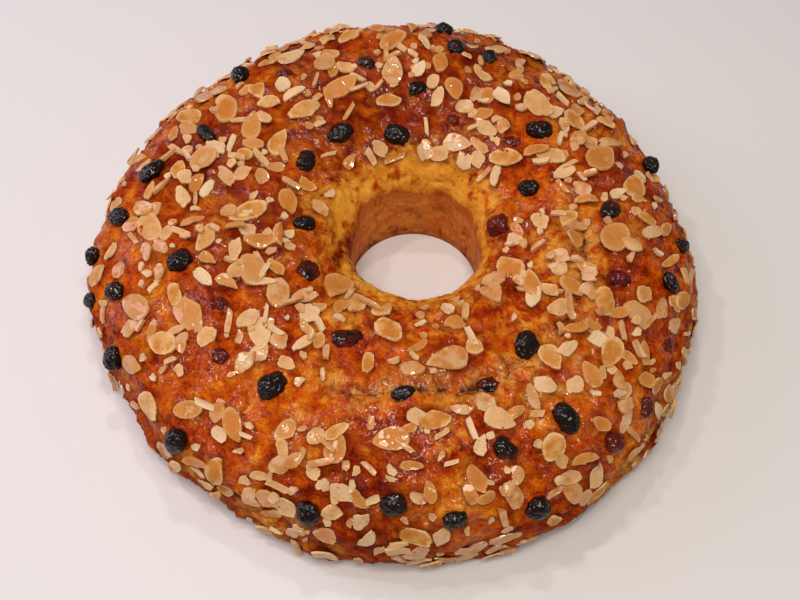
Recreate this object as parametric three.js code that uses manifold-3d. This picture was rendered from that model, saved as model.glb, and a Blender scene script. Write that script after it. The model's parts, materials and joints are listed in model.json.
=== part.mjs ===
// A ring cake of yeast dough, baked whole, with raisins pressed into it and flaked almonds on the crust.
// Millimetres, +Z up. The cake stands on z = 0, with the Z axis through the middle of its bounding box.
//
// A place on the crust is given by two numbers. "around" is an angle in degrees from +X, counted towards +Y.
// "across" is the length in millimetres along the section, from the foot of the hole's wall, up that wall,
// over the crown and down to the outer foot.

import * as THREE from "three";
import { mergeVertices } from "three/addons/utils/BufferGeometryUtils.js";
import Module from "manifold-3d";

// Section of the ring.
const OUTER_RADIUS = 150;
const BULGE_HEIGHT = 24.6; // where the outside is widest
const FOOT_RADIUS = 145.4;
const CROWN_RADIUS = 93.4;
const CROWN_HEIGHT = 65.8;
const HOLE_RADIUS = 32.6;
const HOLE_WALL_HEIGHT = 38.4; // the upright part of the hole's wall
const ARC_STEPS = 48; // points on each arc of the section

// Where the outer circle's axis stands in the cake's own frame.
const AXIS = new THREE.Vector2(2.2, -0.9);

// The hole sits off the middle, and the outside is a little out of round.
const HOLE_SHIFT = new THREE.Vector2(9.5, 5.7);
const OUT_OF_ROUND = [
  { waves: 2, height: 1.5, start: 246 },
  { waves: 3, height: 2.0, start: 212 },
];

// Slow swells of the dough: waves round the ring and half waves across the section.
const SWELLS = [
  { height: 0.9, waves: 4, halfWaves: 1, start: 20 },
  { height: 0.8, waves: 5, halfWaves: 3, start: 110 },
  { height: 0.6, waves: 9, halfWaves: 4, start: 75 },
  { height: 0.5, waves: 13, halfWaves: 5, start: 310 },
];

// Places where the dough rose higher than round about.
const LUMPS = [
  { around: 87, across: 122, height: 3.2, reach: 24 },
  { around: 222, across: 140, height: 1.6, reach: 34 },
  { around: 12, across: 128, height: 1.4, reach: 30 },
];

// The seam where the roll of dough was laid over itself: a groove with a raised lip along each side.
const SEAM = {
  from: 244,
  to: 366,
  startAcross: 112,
  endAcross: 102,
  wander: 2.2,
  wanderTurns: 3,
  depth: 4.0,
  halfWidth: 3.6,
  lip: 1.3,
  lipOffset: 8,
  taper: 14, // degrees over which each end runs out
};

const FOOT_MARGIN = 14; // the swells fade out over this length at both feet

// Grid of the crust: columns round the ring, and rows across it, closest at the seam.
const COLUMNS = 60;
const WALL_ROWS = [0, 19];
const INNER_ROWS = [38.4, 46, 55, 65, 76, 88, 97];
const SEAM_ROWS = [103, 106.5, 110];
const OUTER_ROWS = [117, 127, 137, 147, 157, 167, 177, 188, 198, 206];

// Raisins. long and wide are lengths, lie is the turn of the long axis from "around" towards "across",
// and sunk is the share of the thickness that is below the crust.
const RAISIN_FLATNESS = 0.86; // thickness over width
const RAISIN_WRINKLE = 0.07; // share of the radius that its corners vary by
const RAISIN_GAP = 0.4; // kept between a raisin and the dough
const RAISIN_SIDES = 7;
const RAISIN_SEGMENTS = 4;
const LYING = 0.42;
const HALF_SUNK = 0.58;
const SUNK = 0.7;
const RAISINS = [
  { around: 133, across: 145, long: 12, wide: 10, lie: 125, sunk: LYING },
  { around: 167, across: 144, long: 16, wide: 9, lie: 30, sunk: LYING },
  { around: 154, across: 128, long: 14, wide: 8, lie: 115, sunk: LYING },
  { around: 178, across: 154, long: 13, wide: 10, lie: 115, sunk: LYING },
  { around: 183, across: 173, long: 10, wide: 8, lie: 35, sunk: LYING },
  { around: 195, across: 124, long: 13, wide: 12, lie: 85, sunk: LYING },
  { around: 195, across: 157, long: 10, wide: 9, lie: 120, sunk: LYING },
  { around: 192, across: 177, long: 11, wide: 8, lie: 110, sunk: LYING },
  { around: 206, across: 172, long: 12, wide: 10, lie: 40, sunk: LYING },
  { around: 211, across: 115, long: 10, wide: 8, lie: 120, sunk: SUNK },
  { around: 223, across: 128, long: 10, wide: 8, lie: 155, sunk: SUNK },
  { around: 238, across: 124, long: 15, wide: 13, lie: 115, sunk: LYING },
  { around: 228, across: 169, long: 13, wide: 11, lie: 125, sunk: LYING },
  { around: 256, across: 169, long: 12, wide: 11, lie: 80, sunk: LYING },
  { around: 183, across: 69, long: 11, wide: 9, lie: 80, sunk: LYING },
  { around: 211, across: 73, long: 14, wide: 12, lie: 65, sunk: HALF_SUNK },
  { around: 149, across: 79, long: 12, wide: 10, lie: 170, sunk: LYING },
  { around: 126, across: 80, long: 14, wide: 10, lie: 5, sunk: LYING },
  { around: 101, across: 70, long: 14, wide: 11, lie: 30, sunk: LYING },
  { around: 104, across: 114, long: 11, wide: 8, lie: 10, sunk: HALF_SUNK },
  { around: 89, across: 96, long: 10, wide: 8, lie: 165, sunk: LYING },
  { around: 78, across: 125, long: 10, wide: 9, lie: 30, sunk: LYING },
  { around: 69, across: 128, long: 11, wide: 9, lie: 75, sunk: LYING },
  { around: 82, across: 143, long: 10, wide: 9, lie: 160, sunk: LYING },
  { around: 73, across: 81, long: 8, wide: 7, lie: 165, sunk: SUNK },
  { around: 42, across: 102, long: 13, wide: 11, lie: 140, sunk: LYING },
  { around: 22, across: 77, long: 11, wide: 9, lie: 120, sunk: LYING },
  { around: 7, across: 55, long: 13, wide: 12, lie: 110, sunk: HALF_SUNK },
  { around: 5, across: 115, long: 12, wide: 10, lie: 40, sunk: LYING },
  { around: 22, across: 156, long: 11, wide: 9, lie: 35, sunk: LYING },
  { around: 2, across: 160, long: 10, wide: 8, lie: 65, sunk: LYING },
  { around: 351, across: 150, long: 10, wide: 8, lie: 130, sunk: LYING },
  { around: 345, across: 121, long: 14, wide: 10, lie: 65, sunk: SUNK },
  { around: 310, across: 101, long: 15, wide: 13, lie: 130, sunk: LYING },
  { around: 295, across: 110, long: 15, wide: 11, lie: 45, sunk: HALF_SUNK },
  { around: 247, across: 88, long: 17, wide: 11, lie: 145, sunk: HALF_SUNK },
  { around: 271, across: 111, long: 11, wide: 10, lie: 165, sunk: LYING },
  { around: 308, across: 139, long: 15, wide: 12, lie: 95, sunk: LYING },
  { around: 293, across: 139, long: 12, wide: 10, lie: 45, sunk: LYING },
  { around: 297, across: 169, long: 12, wide: 11, lie: 160, sunk: LYING },
  { around: 282, across: 165, long: 11, wide: 9, lie: 165, sunk: LYING },
  { around: 271, across: 157, long: 12, wide: 11, lie: 175, sunk: LYING },
  { around: 325, across: 163, long: 10, wide: 9, lie: 130, sunk: SUNK },
  { around: 315, across: 162, long: 11, wide: 10, lie: 35, sunk: SUNK },
  { around: 338, across: 157, long: 10, wide: 8, lie: 50, sunk: SUNK },
  { around: 126, across: 126, long: 11, wide: 8, lie: 40, sunk: SUNK },
  { around: 46, across: 86, long: 12, wide: 8, lie: 135, sunk: SUNK },
];

// Low on the far outer side, where a view from above the near side doesn't show them, raisins follow at
// even steps.
const FAR_RAISINS = {
  count: 7,
  from: 38,
  step: 17,
  rows: [184, 195, 189],
  long: [12, 10, 13],
  wide: [10, 9, 10],
  lies: [20, 100, 60, 150],
  depths: [SUNK, LYING, HALF_SUNK],
};

// Almond flakes. The largest ones lie where they are seen, and the rest follow by a seeded rule.
const FLAKE_RISE = 0.9; // top of a flake over the crust at its middle
const FLAKE_ROOT = 2.6; // how far its body goes down into the dough
const LARGE_CORNERS = 8; // corners of a large flake's outline
const SMALL_CORNERS = 6; // and of one laid by the rule
const FLAKE_TAPER = 0.3; // how much narrower the pointed end is
const FLAKE_LEAN = 7; // largest lean of a flake out of the crust's slope, in degrees
const FLAKE_SEED = 20117;
const LARGE_FLAKES = [
  { around: 210, across: 128, long: 21, wide: 13, lie: 0 },
  { around: 201, across: 148, long: 19, wide: 12, lie: 150 },
  { around: 212, across: 144, long: 16, wide: 11, lie: 140 },
  { around: 183, across: 137, long: 19, wide: 12, lie: 165 },
  { around: 219, across: 169, long: 15, wide: 10, lie: 15 },
  { around: 180, across: 94, long: 20, wide: 11, lie: 60 },
  { around: 204, across: 96, long: 17, wide: 13, lie: 20 },
  { around: 216, across: 91, long: 17, wide: 11, lie: 35 },
  { around: 226, across: 66, long: 18, wide: 15, lie: 60 },
  { around: 240, across: 67, long: 13, wide: 10, lie: 85 },
  { around: 225, across: 109, long: 17, wide: 11, lie: 35 },
  { around: 236, across: 147, long: 17, wide: 9, lie: 40 },
  { around: 262, across: 79, long: 17, wide: 12, lie: 50 },
  { around: 284, across: 96, long: 21, wide: 14, lie: 165 },
  { around: 294, across: 127, long: 15, wide: 10, lie: 40 },
  { around: 279, across: 122, long: 15, wide: 9, lie: 0 },
  { around: 269, across: 130, long: 17, wide: 11, lie: 170 },
  { around: 303, across: 147, long: 14, wide: 11, lie: 150 },
  { around: 304, across: 170, long: 16, wide: 9, lie: 90 },
  { around: 314, across: 113, long: 14, wide: 10, lie: 100 },
  { around: 326, across: 132, long: 16, wide: 11, lie: 170 },
  { around: 339, across: 136, long: 16, wide: 12, lie: 120 },
  { around: 356, across: 116, long: 18, wide: 14, lie: 30 },
  { around: 316, across: 69, long: 14, wide: 10, lie: 100 },
  { around: 335, across: 67, long: 18, wide: 12, lie: 110 },
  { around: 97, across: 106, long: 17, wide: 11, lie: 100 },
  { around: 115, across: 103, long: 20, wide: 11, lie: 170 },
  { around: 131, across: 100, long: 18, wide: 10, lie: 10 },
  { around: 147, across: 96, long: 16, wide: 9, lie: 165 },
  { around: 146, across: 112, long: 17, wide: 10, lie: 150 },
  { around: 144, across: 131, long: 18, wide: 13, lie: 150 },
  { around: 115, across: 121, long: 14, wide: 11, lie: 130 },
  { around: 162, across: 122, long: 16, wide: 12, lie: 20 },
  { around: 95, across: 127, long: 17, wide: 12, lie: 150 },
  { around: 120, across: 139, long: 17, wide: 10, lie: 165 },
  { around: 24, across: 122, long: 19, wide: 15, lie: 60 },
  { around: 49, across: 113, long: 18, wide: 13, lie: 20 },
  { around: 42, across: 77, long: 18, wide: 10, lie: 145 },
  { around: 68, across: 70, long: 15, wide: 10, lie: 160 },
  { around: 31, across: 97, long: 16, wide: 10, lie: 140 },
  { around: 48, across: 141, long: 17, wide: 12, lie: 20 },
  { around: 14, across: 134, long: 16, wide: 12, lie: 30 },
];
const RULE_FLAKES = {
  count: 58,
  longest: 16,
  shortest: 11,
  narrowest: 0.52, // width over length
  widest: 0.74,
  tries: 300,
  spacing: 0.43, // distance kept between two middles, over the sum of their lengths
};
const BARE_BELOW = 64; // the golden band round the hole has hardly any
const BARE_ABOVE = 196; // nor does the outer foot
const THIN_ZONE = { around: 308, across: 88, reach: 22, share: 0.25 }; // a barer stretch of crust
const NUDGE = 0.5; // step for slopes, in millimetres and degrees

const wasm = await Module();
wasm.setup();

/** A draw from 0 to 1 each call, the same ones for the same seed. */
function makeDraw(seed) {
  let state = seed;
  return () => {
    state = (state * 16807) % 2147483647;
    return state / 2147483647;
  };
}

/** The section's outline as (radius, height) points, from the hole's foot to the outer foot. */
function sectionOutline() {
  const inner = new THREE.EllipseCurve(
    CROWN_RADIUS, HOLE_WALL_HEIGHT,
    CROWN_RADIUS - HOLE_RADIUS, CROWN_HEIGHT - HOLE_WALL_HEIGHT,
    Math.PI, Math.PI / 2, true,
  );
  const outer = new THREE.EllipseCurve(
    CROWN_RADIUS, BULGE_HEIGHT,
    OUTER_RADIUS - CROWN_RADIUS, CROWN_HEIGHT - BULGE_HEIGHT,
    Math.PI / 2, 0, true,
  );
  const foot = new THREE.EllipseCurve(
    FOOT_RADIUS, BULGE_HEIGHT,
    OUTER_RADIUS - FOOT_RADIUS, BULGE_HEIGHT,
    0, -Math.PI / 2, true,
  );
  return [
    new THREE.Vector2(HOLE_RADIUS, 0),
    ...inner.getPoints(ARC_STEPS),
    ...outer.getPoints(ARC_STEPS).slice(1),
    ...foot.getPoints(ARC_STEPS).slice(1),
  ];
}

/** The distance along the outline to each of its points. */
function outlineLengths(points) {
  const lengths = [0];
  for (let i = 1; i < points.length; i += 1) {
    lengths.push(lengths[i - 1] + points[i].distanceTo(points[i - 1]));
  }
  return lengths;
}

const OUTLINE = sectionOutline();
const LENGTHS = outlineLengths(OUTLINE);
const SECTION_LENGTH = LENGTHS[LENGTHS.length - 1];

/** The (radius, height) point at a length across the section. */
function sectionPoint(across) {
  const last = LENGTHS.length - 1;
  let i = 1;
  while (i < last && LENGTHS[i] < across) {
    i += 1;
  }
  const share = (across - LENGTHS[i - 1]) / (LENGTHS[i] - LENGTHS[i - 1]);
  return OUTLINE[i - 1].clone().lerp(OUTLINE[i], THREE.MathUtils.clamp(share, 0, 1));
}

/** The plain ring's surface, without swells. */
function ringPoint(around, across) {
  const { x: radius, y: height } = sectionPoint(across);
  const turn = THREE.MathUtils.degToRad(around);
  const inward = THREE.MathUtils.clamp((OUTER_RADIUS - radius) / (OUTER_RADIUS - HOLE_RADIUS), 0, 1);
  let round = radius;
  for (const { waves, height: swing, start } of OUT_OF_ROUND) {
    const phase = waves * turn - THREE.MathUtils.degToRad(start);
    round += (1 - inward) * swing * (radius / OUTER_RADIUS) * Math.cos(phase);
  }
  return new THREE.Vector3(
    AXIS.x + inward * HOLE_SHIFT.x + round * Math.cos(turn),
    AXIS.y + inward * HOLE_SHIFT.y + round * Math.sin(turn),
    height,
  );
}

/** The outward direction of a surface function at a place. */
function outwardOf(surface, around, across) {
  const low = Math.max(across - NUDGE, 0);
  const high = Math.min(across + NUDGE, SECTION_LENGTH);
  const alongRing = surface(around + NUDGE, across).sub(surface(around - NUDGE, across));
  const alongSection = surface(around, high).sub(surface(around, low));
  return alongSection.cross(alongRing).normalize();
}

/** 0 to 1 in a smooth ramp as value passes from low to high. */
function ramp(value, low, high) {
  return THREE.MathUtils.smoothstep(value, low, high);
}

/** The angle from one direction to another, from -180 to 180 degrees. */
function angleBetween(from, to) {
  return THREE.MathUtils.euclideanModulo(to - from + 180, 360) - 180;
}

/** The height that the seam adds: below zero in its groove, above zero on its lips. */
function seamHeight(around, across) {
  const turned = THREE.MathUtils.euclideanModulo(around - SEAM.from, 360);
  const run = SEAM.to - SEAM.from;
  const ends = ramp(turned, 0, SEAM.taper) * (1 - ramp(turned, run - SEAM.taper, run));
  const share = turned / run;
  const wave = SEAM.wander * Math.sin(2 * Math.PI * SEAM.wanderTurns * share);
  const offset = across - THREE.MathUtils.lerp(SEAM.startAcross, SEAM.endAcross, share) - wave;
  const groove = SEAM.depth * Math.exp(-((offset / SEAM.halfWidth) ** 2));
  const lip = SEAM.lip * Math.exp(-(((Math.abs(offset) - SEAM.lipOffset) / SEAM.halfWidth) ** 2));
  return ends * (lip - groove);
}

/** How far the crust stands out from the plain ring. It is nothing at both feet. */
function swellHeight(around, across) {
  const share = across / SECTION_LENGTH;
  let height = 0;
  for (const { height: swing, waves, halfWaves, start } of SWELLS) {
    const phase = THREE.MathUtils.degToRad(waves * around - start);
    height += swing * Math.cos(phase) * Math.sin(Math.PI * halfWaves * share);
  }
  for (const { around: middle, across: row, height: top, reach } of LUMPS) {
    const sideways = THREE.MathUtils.degToRad(angleBetween(middle, around)) * sectionPoint(across).x;
    height += top * Math.exp(-(sideways ** 2 + (across - row) ** 2) / reach ** 2);
  }
  const innerFade = ramp(across, 0, FOOT_MARGIN);
  const outerFade = 1 - ramp(across, SECTION_LENGTH - FOOT_MARGIN, SECTION_LENGTH);
  return innerFade * outerFade * (height + seamHeight(around, across));
}

/** The crust's surface. */
function crustPoint(around, across) {
  const outward = outwardOf(ringPoint, around, across);
  return ringPoint(around, across).addScaledVector(outward, swellHeight(around, across));
}

/** A frame on the crust: x turned by lie from "around" towards "across", z outwards, then leant. */
function crustFrame(around, across, lie, lean = 0, leanTowards = 0) {
  const outward = outwardOf(crustPoint, around, across);
  const alongRing = crustPoint(around + NUDGE, across).sub(crustPoint(around - NUDGE, across));
  const alongX = alongRing.addScaledVector(outward, -alongRing.dot(outward)).normalize();
  const alongY = outward.clone().cross(alongX);
  const axes = new THREE.Matrix4().makeBasis(alongX, alongY, outward);
  const turned = new THREE.Matrix4().makeRotationZ(-THREE.MathUtils.degToRad(lie));
  const towards = THREE.MathUtils.degToRad(leanTowards);
  const leanAxis = new THREE.Vector3(Math.cos(towards), Math.sin(towards), 0);
  const leant = new THREE.Matrix4().makeRotationAxis(leanAxis, THREE.MathUtils.degToRad(lean));
  return axes.multiply(leant).multiply(turned);
}

/** A closed geometry as a solid for joining and cutting. */
function toSolid(geometry) {
  const bare = geometry.clone();
  bare.deleteAttribute("normal");
  bare.deleteAttribute("uv");
  const merged = mergeVertices(bare);
  return new wasm.Manifold(new wasm.Mesh({
    numProp: 3,
    vertProperties: merged.getAttribute("position").array,
    triVerts: new Uint32Array(merged.getIndex().array),
  }));
}

/** A solid as a geometry. */
function toGeometry(solid) {
  const mesh = solid.getMesh();
  const geometry = new THREE.BufferGeometry();
  geometry.setAttribute("position", new THREE.BufferAttribute(mesh.vertProperties, mesh.numProp));
  geometry.setIndex(new THREE.BufferAttribute(mesh.triVerts, 1));
  return geometry;
}

/** The bare ring of dough: a grid over the crust, closed by the flat underside. */
function doughGeometry() {
  const rows = [...WALL_ROWS, ...INNER_ROWS, ...SEAM_ROWS, ...OUTER_ROWS, SECTION_LENGTH];
  const positions = [];
  for (let column = 0; column < COLUMNS; column += 1) {
    for (const across of rows) {
      positions.push(...crustPoint((360 * column) / COLUMNS, across).toArray());
    }
  }
  const faces = [];
  for (let column = 0; column < COLUMNS; column += 1) {
    const here = column * rows.length;
    const next = ((column + 1) % COLUMNS) * rows.length;
    for (let row = 0; row < rows.length; row += 1) {
      const above = (row + 1) % rows.length; // the last row closes on the first, across the underside
      faces.push(here + row, here + above, next + row);
      faces.push(next + row, here + above, next + above);
    }
  }
  const geometry = new THREE.BufferGeometry();
  geometry.setAttribute("position", new THREE.Float32BufferAttribute(positions, 3));
  geometry.setIndex(faces);
  return geometry;
}

/** The raisins on the side that isn't seen. */
function farRaisins() {
  const { count, from, step, rows, long, wide, lies, depths } = FAR_RAISINS;
  return Array.from({ length: count }, (_, i) => ({
    around: from + step * i,
    across: rows[i % rows.length],
    long: long[i % long.length],
    wide: wide[i % wide.length],
    lie: lies[i % lies.length],
    sunk: depths[i % depths.length],
  }));
}

/** A wrinkled raisin about its own middle, grown by a margin, with its poles at the ends of its length. */
function raisinGeometry({ long, wide }, margin, draw) {
  const ball = new THREE.SphereGeometry(1, RAISIN_SIDES, RAISIN_SEGMENTS).rotateZ(Math.PI / 2);
  ball.deleteAttribute("normal");
  ball.deleteAttribute("uv");
  const body = mergeVertices(ball);
  const corners = body.getAttribute("position");
  for (let i = 0; i < corners.count; i += 1) {
    const size = 1 + RAISIN_WRINKLE * (2 * draw() - 1);
    corners.setXYZ(
      i,
      corners.getX(i) * (size * long * 0.5 + margin),
      corners.getY(i) * (size * wide * 0.5 + margin),
      corners.getZ(i) * (size * wide * 0.5 * RAISIN_FLATNESS + margin),
    );
  }
  return body;
}

/** Where a raisin's middle lies, and how it is turned. */
function raisinPlace({ around, across, wide, lie, sunk }) {
  const lift = wide * RAISIN_FLATNESS * (0.5 - sunk);
  const outward = outwardOf(crustPoint, around, across);
  const middle = crustPoint(around, across).addScaledVector(outward, lift);
  return crustFrame(around, across, lie).setPosition(middle);
}

/** A raisin's own geometry and the slightly larger one that makes room for it. */
function makeRaisin(raisin, index) {
  const place = raisinPlace(raisin);
  const body = raisinGeometry(raisin, 0, makeDraw(index + 1)).applyMatrix4(place);
  const room = raisinGeometry(raisin, RAISIN_GAP, makeDraw(index + 1)).applyMatrix4(place);
  body.computeBoundingBox();
  const middle = body.boundingBox.getCenter(new THREE.Vector3());
  const reach = body.boundingBox.getSize(new THREE.Vector3()).length() / 2;
  return { body, room, middle, reach };
}

/** The share of wanted flakes that a place on the crust takes. */
function flakeShare(around, across) {
  if (across < BARE_BELOW || across > BARE_ABOVE) {
    return 0;
  }
  const sideways = THREE.MathUtils.degToRad(angleBetween(THIN_ZONE.around, around)) * CROWN_RADIUS;
  const near = Math.hypot(sideways, across - THIN_ZONE.across) < THIN_ZONE.reach;
  return near ? THIN_ZONE.share : 1;
}

/** True where a flake would lie clear of the flakes placed before it and of every raisin. */
function isClear(flake, placed, raisins) {
  const crowded = placed.some((other) => (
    flake.middle.distanceTo(other.middle) < RULE_FLAKES.spacing * (flake.long + other.long)
  ));
  const onRaisin = raisins.some((raisin) => (
    flake.middle.distanceTo(raisin.middle) < raisin.reach + flake.wide / 2
  ));
  return !crowded && !onRaisin;
}

/** One flake wanted at a random place. It takes the same number of draws wherever it falls. */
function drawFlake(long, draw) {
  const around = 360 * draw();
  const across = SECTION_LENGTH * draw();
  const keep = draw();
  const wide = long * THREE.MathUtils.lerp(RULE_FLAKES.narrowest, RULE_FLAKES.widest, draw());
  const lie = 360 * draw();
  const lean = FLAKE_LEAN * draw();
  const leanTowards = 360 * draw();
  const wanted = flakeShare(around, across) * (sectionPoint(across).x / OUTER_RADIUS);
  const middle = crustPoint(around, across);
  const corners = SMALL_CORNERS;
  return { around, across, long, wide, lie, lean, leanTowards, middle, corners, kept: keep < wanted };
}

/** The list of flakes: the large ones where they are seen, then the rest from long to short. */
function layFlakes(raisins) {
  const draw = makeDraw(FLAKE_SEED);
  const placed = LARGE_FLAKES.map((flake) => ({
    ...flake,
    lean: FLAKE_LEAN * draw(),
    leanTowards: 360 * draw(),
    corners: LARGE_CORNERS,
    middle: crustPoint(flake.around, flake.across),
  }));
  for (let i = 0; i < RULE_FLAKES.count; i += 1) {
    const long = THREE.MathUtils.lerp(RULE_FLAKES.longest, RULE_FLAKES.shortest, i / RULE_FLAKES.count);
    for (let attempt = 0; attempt < RULE_FLAKES.tries; attempt += 1) {
      const flake = drawFlake(long, draw);
      if (flake.kept && isClear(flake, placed, raisins)) {
        placed.push(flake);
        break;
      }
    }
  }
  return placed;
}

/** The body of one flake: a teardrop plate that goes down into the dough. */
function flakeGeometry({ around, across, long, wide, lie, lean, leanTowards, middle, corners }) {
  const outline = Array.from({ length: corners }, (_, i) => {
    const turn = (2 * Math.PI * (i + 0.5)) / corners;
    const halfWide = (wide / 2) * (1 - FLAKE_TAPER * Math.cos(turn));
    return new THREE.Vector2((long / 2) * Math.cos(turn), halfWide * Math.sin(turn));
  });
  const plate = new THREE.ExtrudeGeometry(new THREE.Shape(outline), {
    depth: FLAKE_RISE + FLAKE_ROOT,
    steps: 1,
    bevelEnabled: false,
  });
  plate.translate(0, 0, -FLAKE_ROOT);
  return plate.applyMatrix4(crustFrame(around, across, lie, lean, leanTowards).setPosition(middle));
}

/** The largest of the bodies that a solid consists of. Loose scraps are dropped. */
function largestBody(solid) {
  const bodies = solid.decompose();
  return bodies.reduce((best, body) => (body.volume() > best.volume() ? body : best));
}

/** The ring with its flakes, with room left for the raisins. */
function makeCake(raisins) {
  let cake = toSolid(doughGeometry());
  for (const flake of layFlakes(raisins)) {
    cake = cake.add(toSolid(flakeGeometry(flake)));
  }
  for (const { room } of raisins) {
    cake = cake.subtract(toSolid(room));
  }
  return toGeometry(largestBody(cake));
}

const crust = new THREE.MeshStandardMaterial({ color: 0xb5611f, roughness: 0.35, metalness: 0 });
const driedFruit = new THREE.MeshStandardMaterial({ color: 0x1e1416, roughness: 0.3, metalness: 0 });

/** A mesh with a name, which is also its node's name. */
function named(name, geometry, material) {
  const mesh = new THREE.Mesh(geometry, material);
  mesh.name = name;
  return mesh;
}

const raisins = [...RAISINS, ...farRaisins()].map(makeRaisin);
const cake = new THREE.Group();
cake.add(named("ring", makeCake(raisins), crust));
raisins.forEach(({ body }, i) => {
  cake.add(named(`raisin_${String(i + 1).padStart(2, "0")}`, body, driedFruit.clone()));
});

export default cake;
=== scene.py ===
"""A baked ring cake with raisins and flaked almonds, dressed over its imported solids.

The frame gives the solids in metres, +Z up. Sizes here are in millimetres until a mesh is made. A place on
the crust is an angle "around" the ring in degrees from +X towards +Y, and a length "across" the section in
millimetres, from the foot of the hole's wall, over the crown, to the outer foot.
"""

from __future__ import annotations

import json
import logging
import math
from collections.abc import Callable, Iterable, Sequence
from dataclasses import dataclass
from enum import Enum
from typing import Any

import bmesh
import bpy
import numpy as np
from mathutils import Matrix, Vector, noise
from mathutils.bvhtree import BVHTree
from mathutils.kdtree import KDTree

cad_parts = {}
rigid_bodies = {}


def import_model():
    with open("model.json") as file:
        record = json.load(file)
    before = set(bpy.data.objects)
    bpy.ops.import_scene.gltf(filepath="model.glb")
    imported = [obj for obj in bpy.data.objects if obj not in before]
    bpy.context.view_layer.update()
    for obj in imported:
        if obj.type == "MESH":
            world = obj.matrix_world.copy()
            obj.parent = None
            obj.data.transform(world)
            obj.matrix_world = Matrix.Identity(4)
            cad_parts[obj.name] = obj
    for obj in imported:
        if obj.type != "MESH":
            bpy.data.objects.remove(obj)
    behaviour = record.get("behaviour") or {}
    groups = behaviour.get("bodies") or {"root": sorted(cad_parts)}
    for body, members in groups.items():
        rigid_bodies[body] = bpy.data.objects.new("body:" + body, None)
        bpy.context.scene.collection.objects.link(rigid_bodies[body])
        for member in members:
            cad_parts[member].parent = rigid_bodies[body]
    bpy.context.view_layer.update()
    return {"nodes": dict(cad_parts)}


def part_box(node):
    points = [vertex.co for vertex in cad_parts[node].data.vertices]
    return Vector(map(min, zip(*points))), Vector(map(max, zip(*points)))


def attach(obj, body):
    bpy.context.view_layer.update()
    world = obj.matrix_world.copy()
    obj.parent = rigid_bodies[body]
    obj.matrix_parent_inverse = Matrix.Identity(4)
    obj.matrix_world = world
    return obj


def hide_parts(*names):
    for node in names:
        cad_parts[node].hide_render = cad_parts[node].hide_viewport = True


LOG = logging.getLogger("ring_cake")
MM = 0.001
DRAW_FACTOR = 16807
DRAW_MODULUS = 2147483647
NOISE_FALL = 0.6  # how fast the finer layers of a noise grow weaker
NOISE_STEP = 2.1  # how much finer each layer is than the one before
SOAKED_FROM = 0.5  # a raisin soaked this far belongs to the soaked ones
# How far the darkening along the flakes' edges reaches: browned syrup and painted shade.
SYRUP_AND_SHADE_FALL_OFF = 0.45  # of a flake's half size, outside its edge
SYRUP_AND_SHADE_MARGIN_MM = 3.0
Array = np.ndarray


# --------------------------------------------------------------------------------------------------
# Small tools


class Draw:
    """A seeded row of draws, the same ones that the solids' flakes were laid with."""

    def __init__(self, seed: int) -> None:
        """Starts the row.

        Args:
            seed: Whole number that the row starts from.
        """
        self.state = seed

    def __call__(self) -> float:
        """Returns the next draw, from 0 to 1."""
        self.state = (self.state * DRAW_FACTOR) % DRAW_MODULUS
        return self.state / DRAW_MODULUS


def linear(hex_colour: str) -> tuple[float, float, float, float]:
    """Turns an sRGB hex colour into Blender's linear one.

    Args:
        hex_colour: Six hex digits after a hash.

    Returns:
        Red, green, blue and an alpha of 1.
    """
    channels = [int(hex_colour[i : i + 2], 16) / 255 for i in (1, 3, 5)]
    straight = [c / 12.92 if c <= 0.04045 else ((c + 0.055) / 1.055) ** 2.4 for c in channels]
    return (*straight, 1.0)


def ramp(value: Array | float, low: float, high: float) -> Array:
    """Rises smoothly from 0 to 1 as a value passes from low to high.

    Args:
        value: The value, or an array of them.
        low: Where the rise starts.
        high: Where it ends.

    Returns:
        The share risen.
    """
    share = np.clip((np.asarray(value, float) - low) / (high - low), 0, 1)
    return share * share * (3 - 2 * share)


def turn_between(start: float, around: Array | float) -> Array:
    """Returns the angle from start to around, from -180 to 180 degrees."""
    return (np.asarray(around, float) - start + 180) % 360 - 180


def bell(form: RingForm, spot: Lump | Tone | Clump, around: Array, across: Array) -> Array:
    """Measures how near places are to a spot on the crust.

    Args:
        form: The ring.
        spot: What lies there, with its place and its reach.
        around: Angles round the ring.
        across: Lengths across the section.

    Returns:
        1 in the spot's middle, falling smoothly to 0 past its reach.
    """
    sideways = np.radians(turn_between(spot.around, around)) * form.radius(across)
    return np.exp(-(sideways**2 + (across - spot.across) ** 2) / spot.reach**2)


def noise_over(points: Array, grain_mm: float, octaves: int, shift: float) -> Array:
    """Reads a cloud of noise at many points.

    Args:
        points: Points in millimetres, one a row.
        grain_mm: Size of the largest grains.
        octaves: How many finer layers it has.
        shift: Moves the cloud, so that two reads differ.

    Returns:
        One value a point, mostly from -1 to 1.
    """
    scaled = (points + shift) / grain_mm
    return np.array([noise.fractal(Vector(p), NOISE_FALL, NOISE_STEP, octaves) for p in scaled])


def add_node(
    tree: bpy.types.NodeTree,
    kind: str,
    settings: dict[str, Any] | None = None,
    inputs: dict[str | int, Any] | None = None,
    stops: Sequence[tuple[float, str]] = (),
) -> bpy.types.Node:
    """Adds a node with its settings and links.

    Args:
        tree: The tree it goes in.
        kind: Blender's name for the node type.
        settings: Properties of the node.
        inputs: Values for its sockets. An output socket is linked, and anything else is set.
        stops: Places and hex colours, for a node with a colour ramp.

    Returns:
        The node.
    """
    node = tree.nodes.new(kind)
    for name, value in (settings or {}).items():
        setattr(node, name, value)
    for key, value in (inputs or {}).items():
        if isinstance(value, bpy.types.NodeSocket):
            tree.links.new(value, node.inputs[key])
        else:
            node.inputs[key].default_value = value
    for index, (place, colour) in enumerate(stops):
        elements = node.color_ramp.elements
        stop = elements[index] if index < 2 else elements.new(place)
        stop.position = place
        stop.color = linear(colour)
    return node


def new_object(name: str, mesh: bpy.types.Mesh) -> bpy.types.Object:
    """Links a mesh into the scene as an object at the origin."""
    piece = bpy.data.objects.new(name, mesh)
    bpy.context.scene.collection.objects.link(piece)
    return piece


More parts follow.
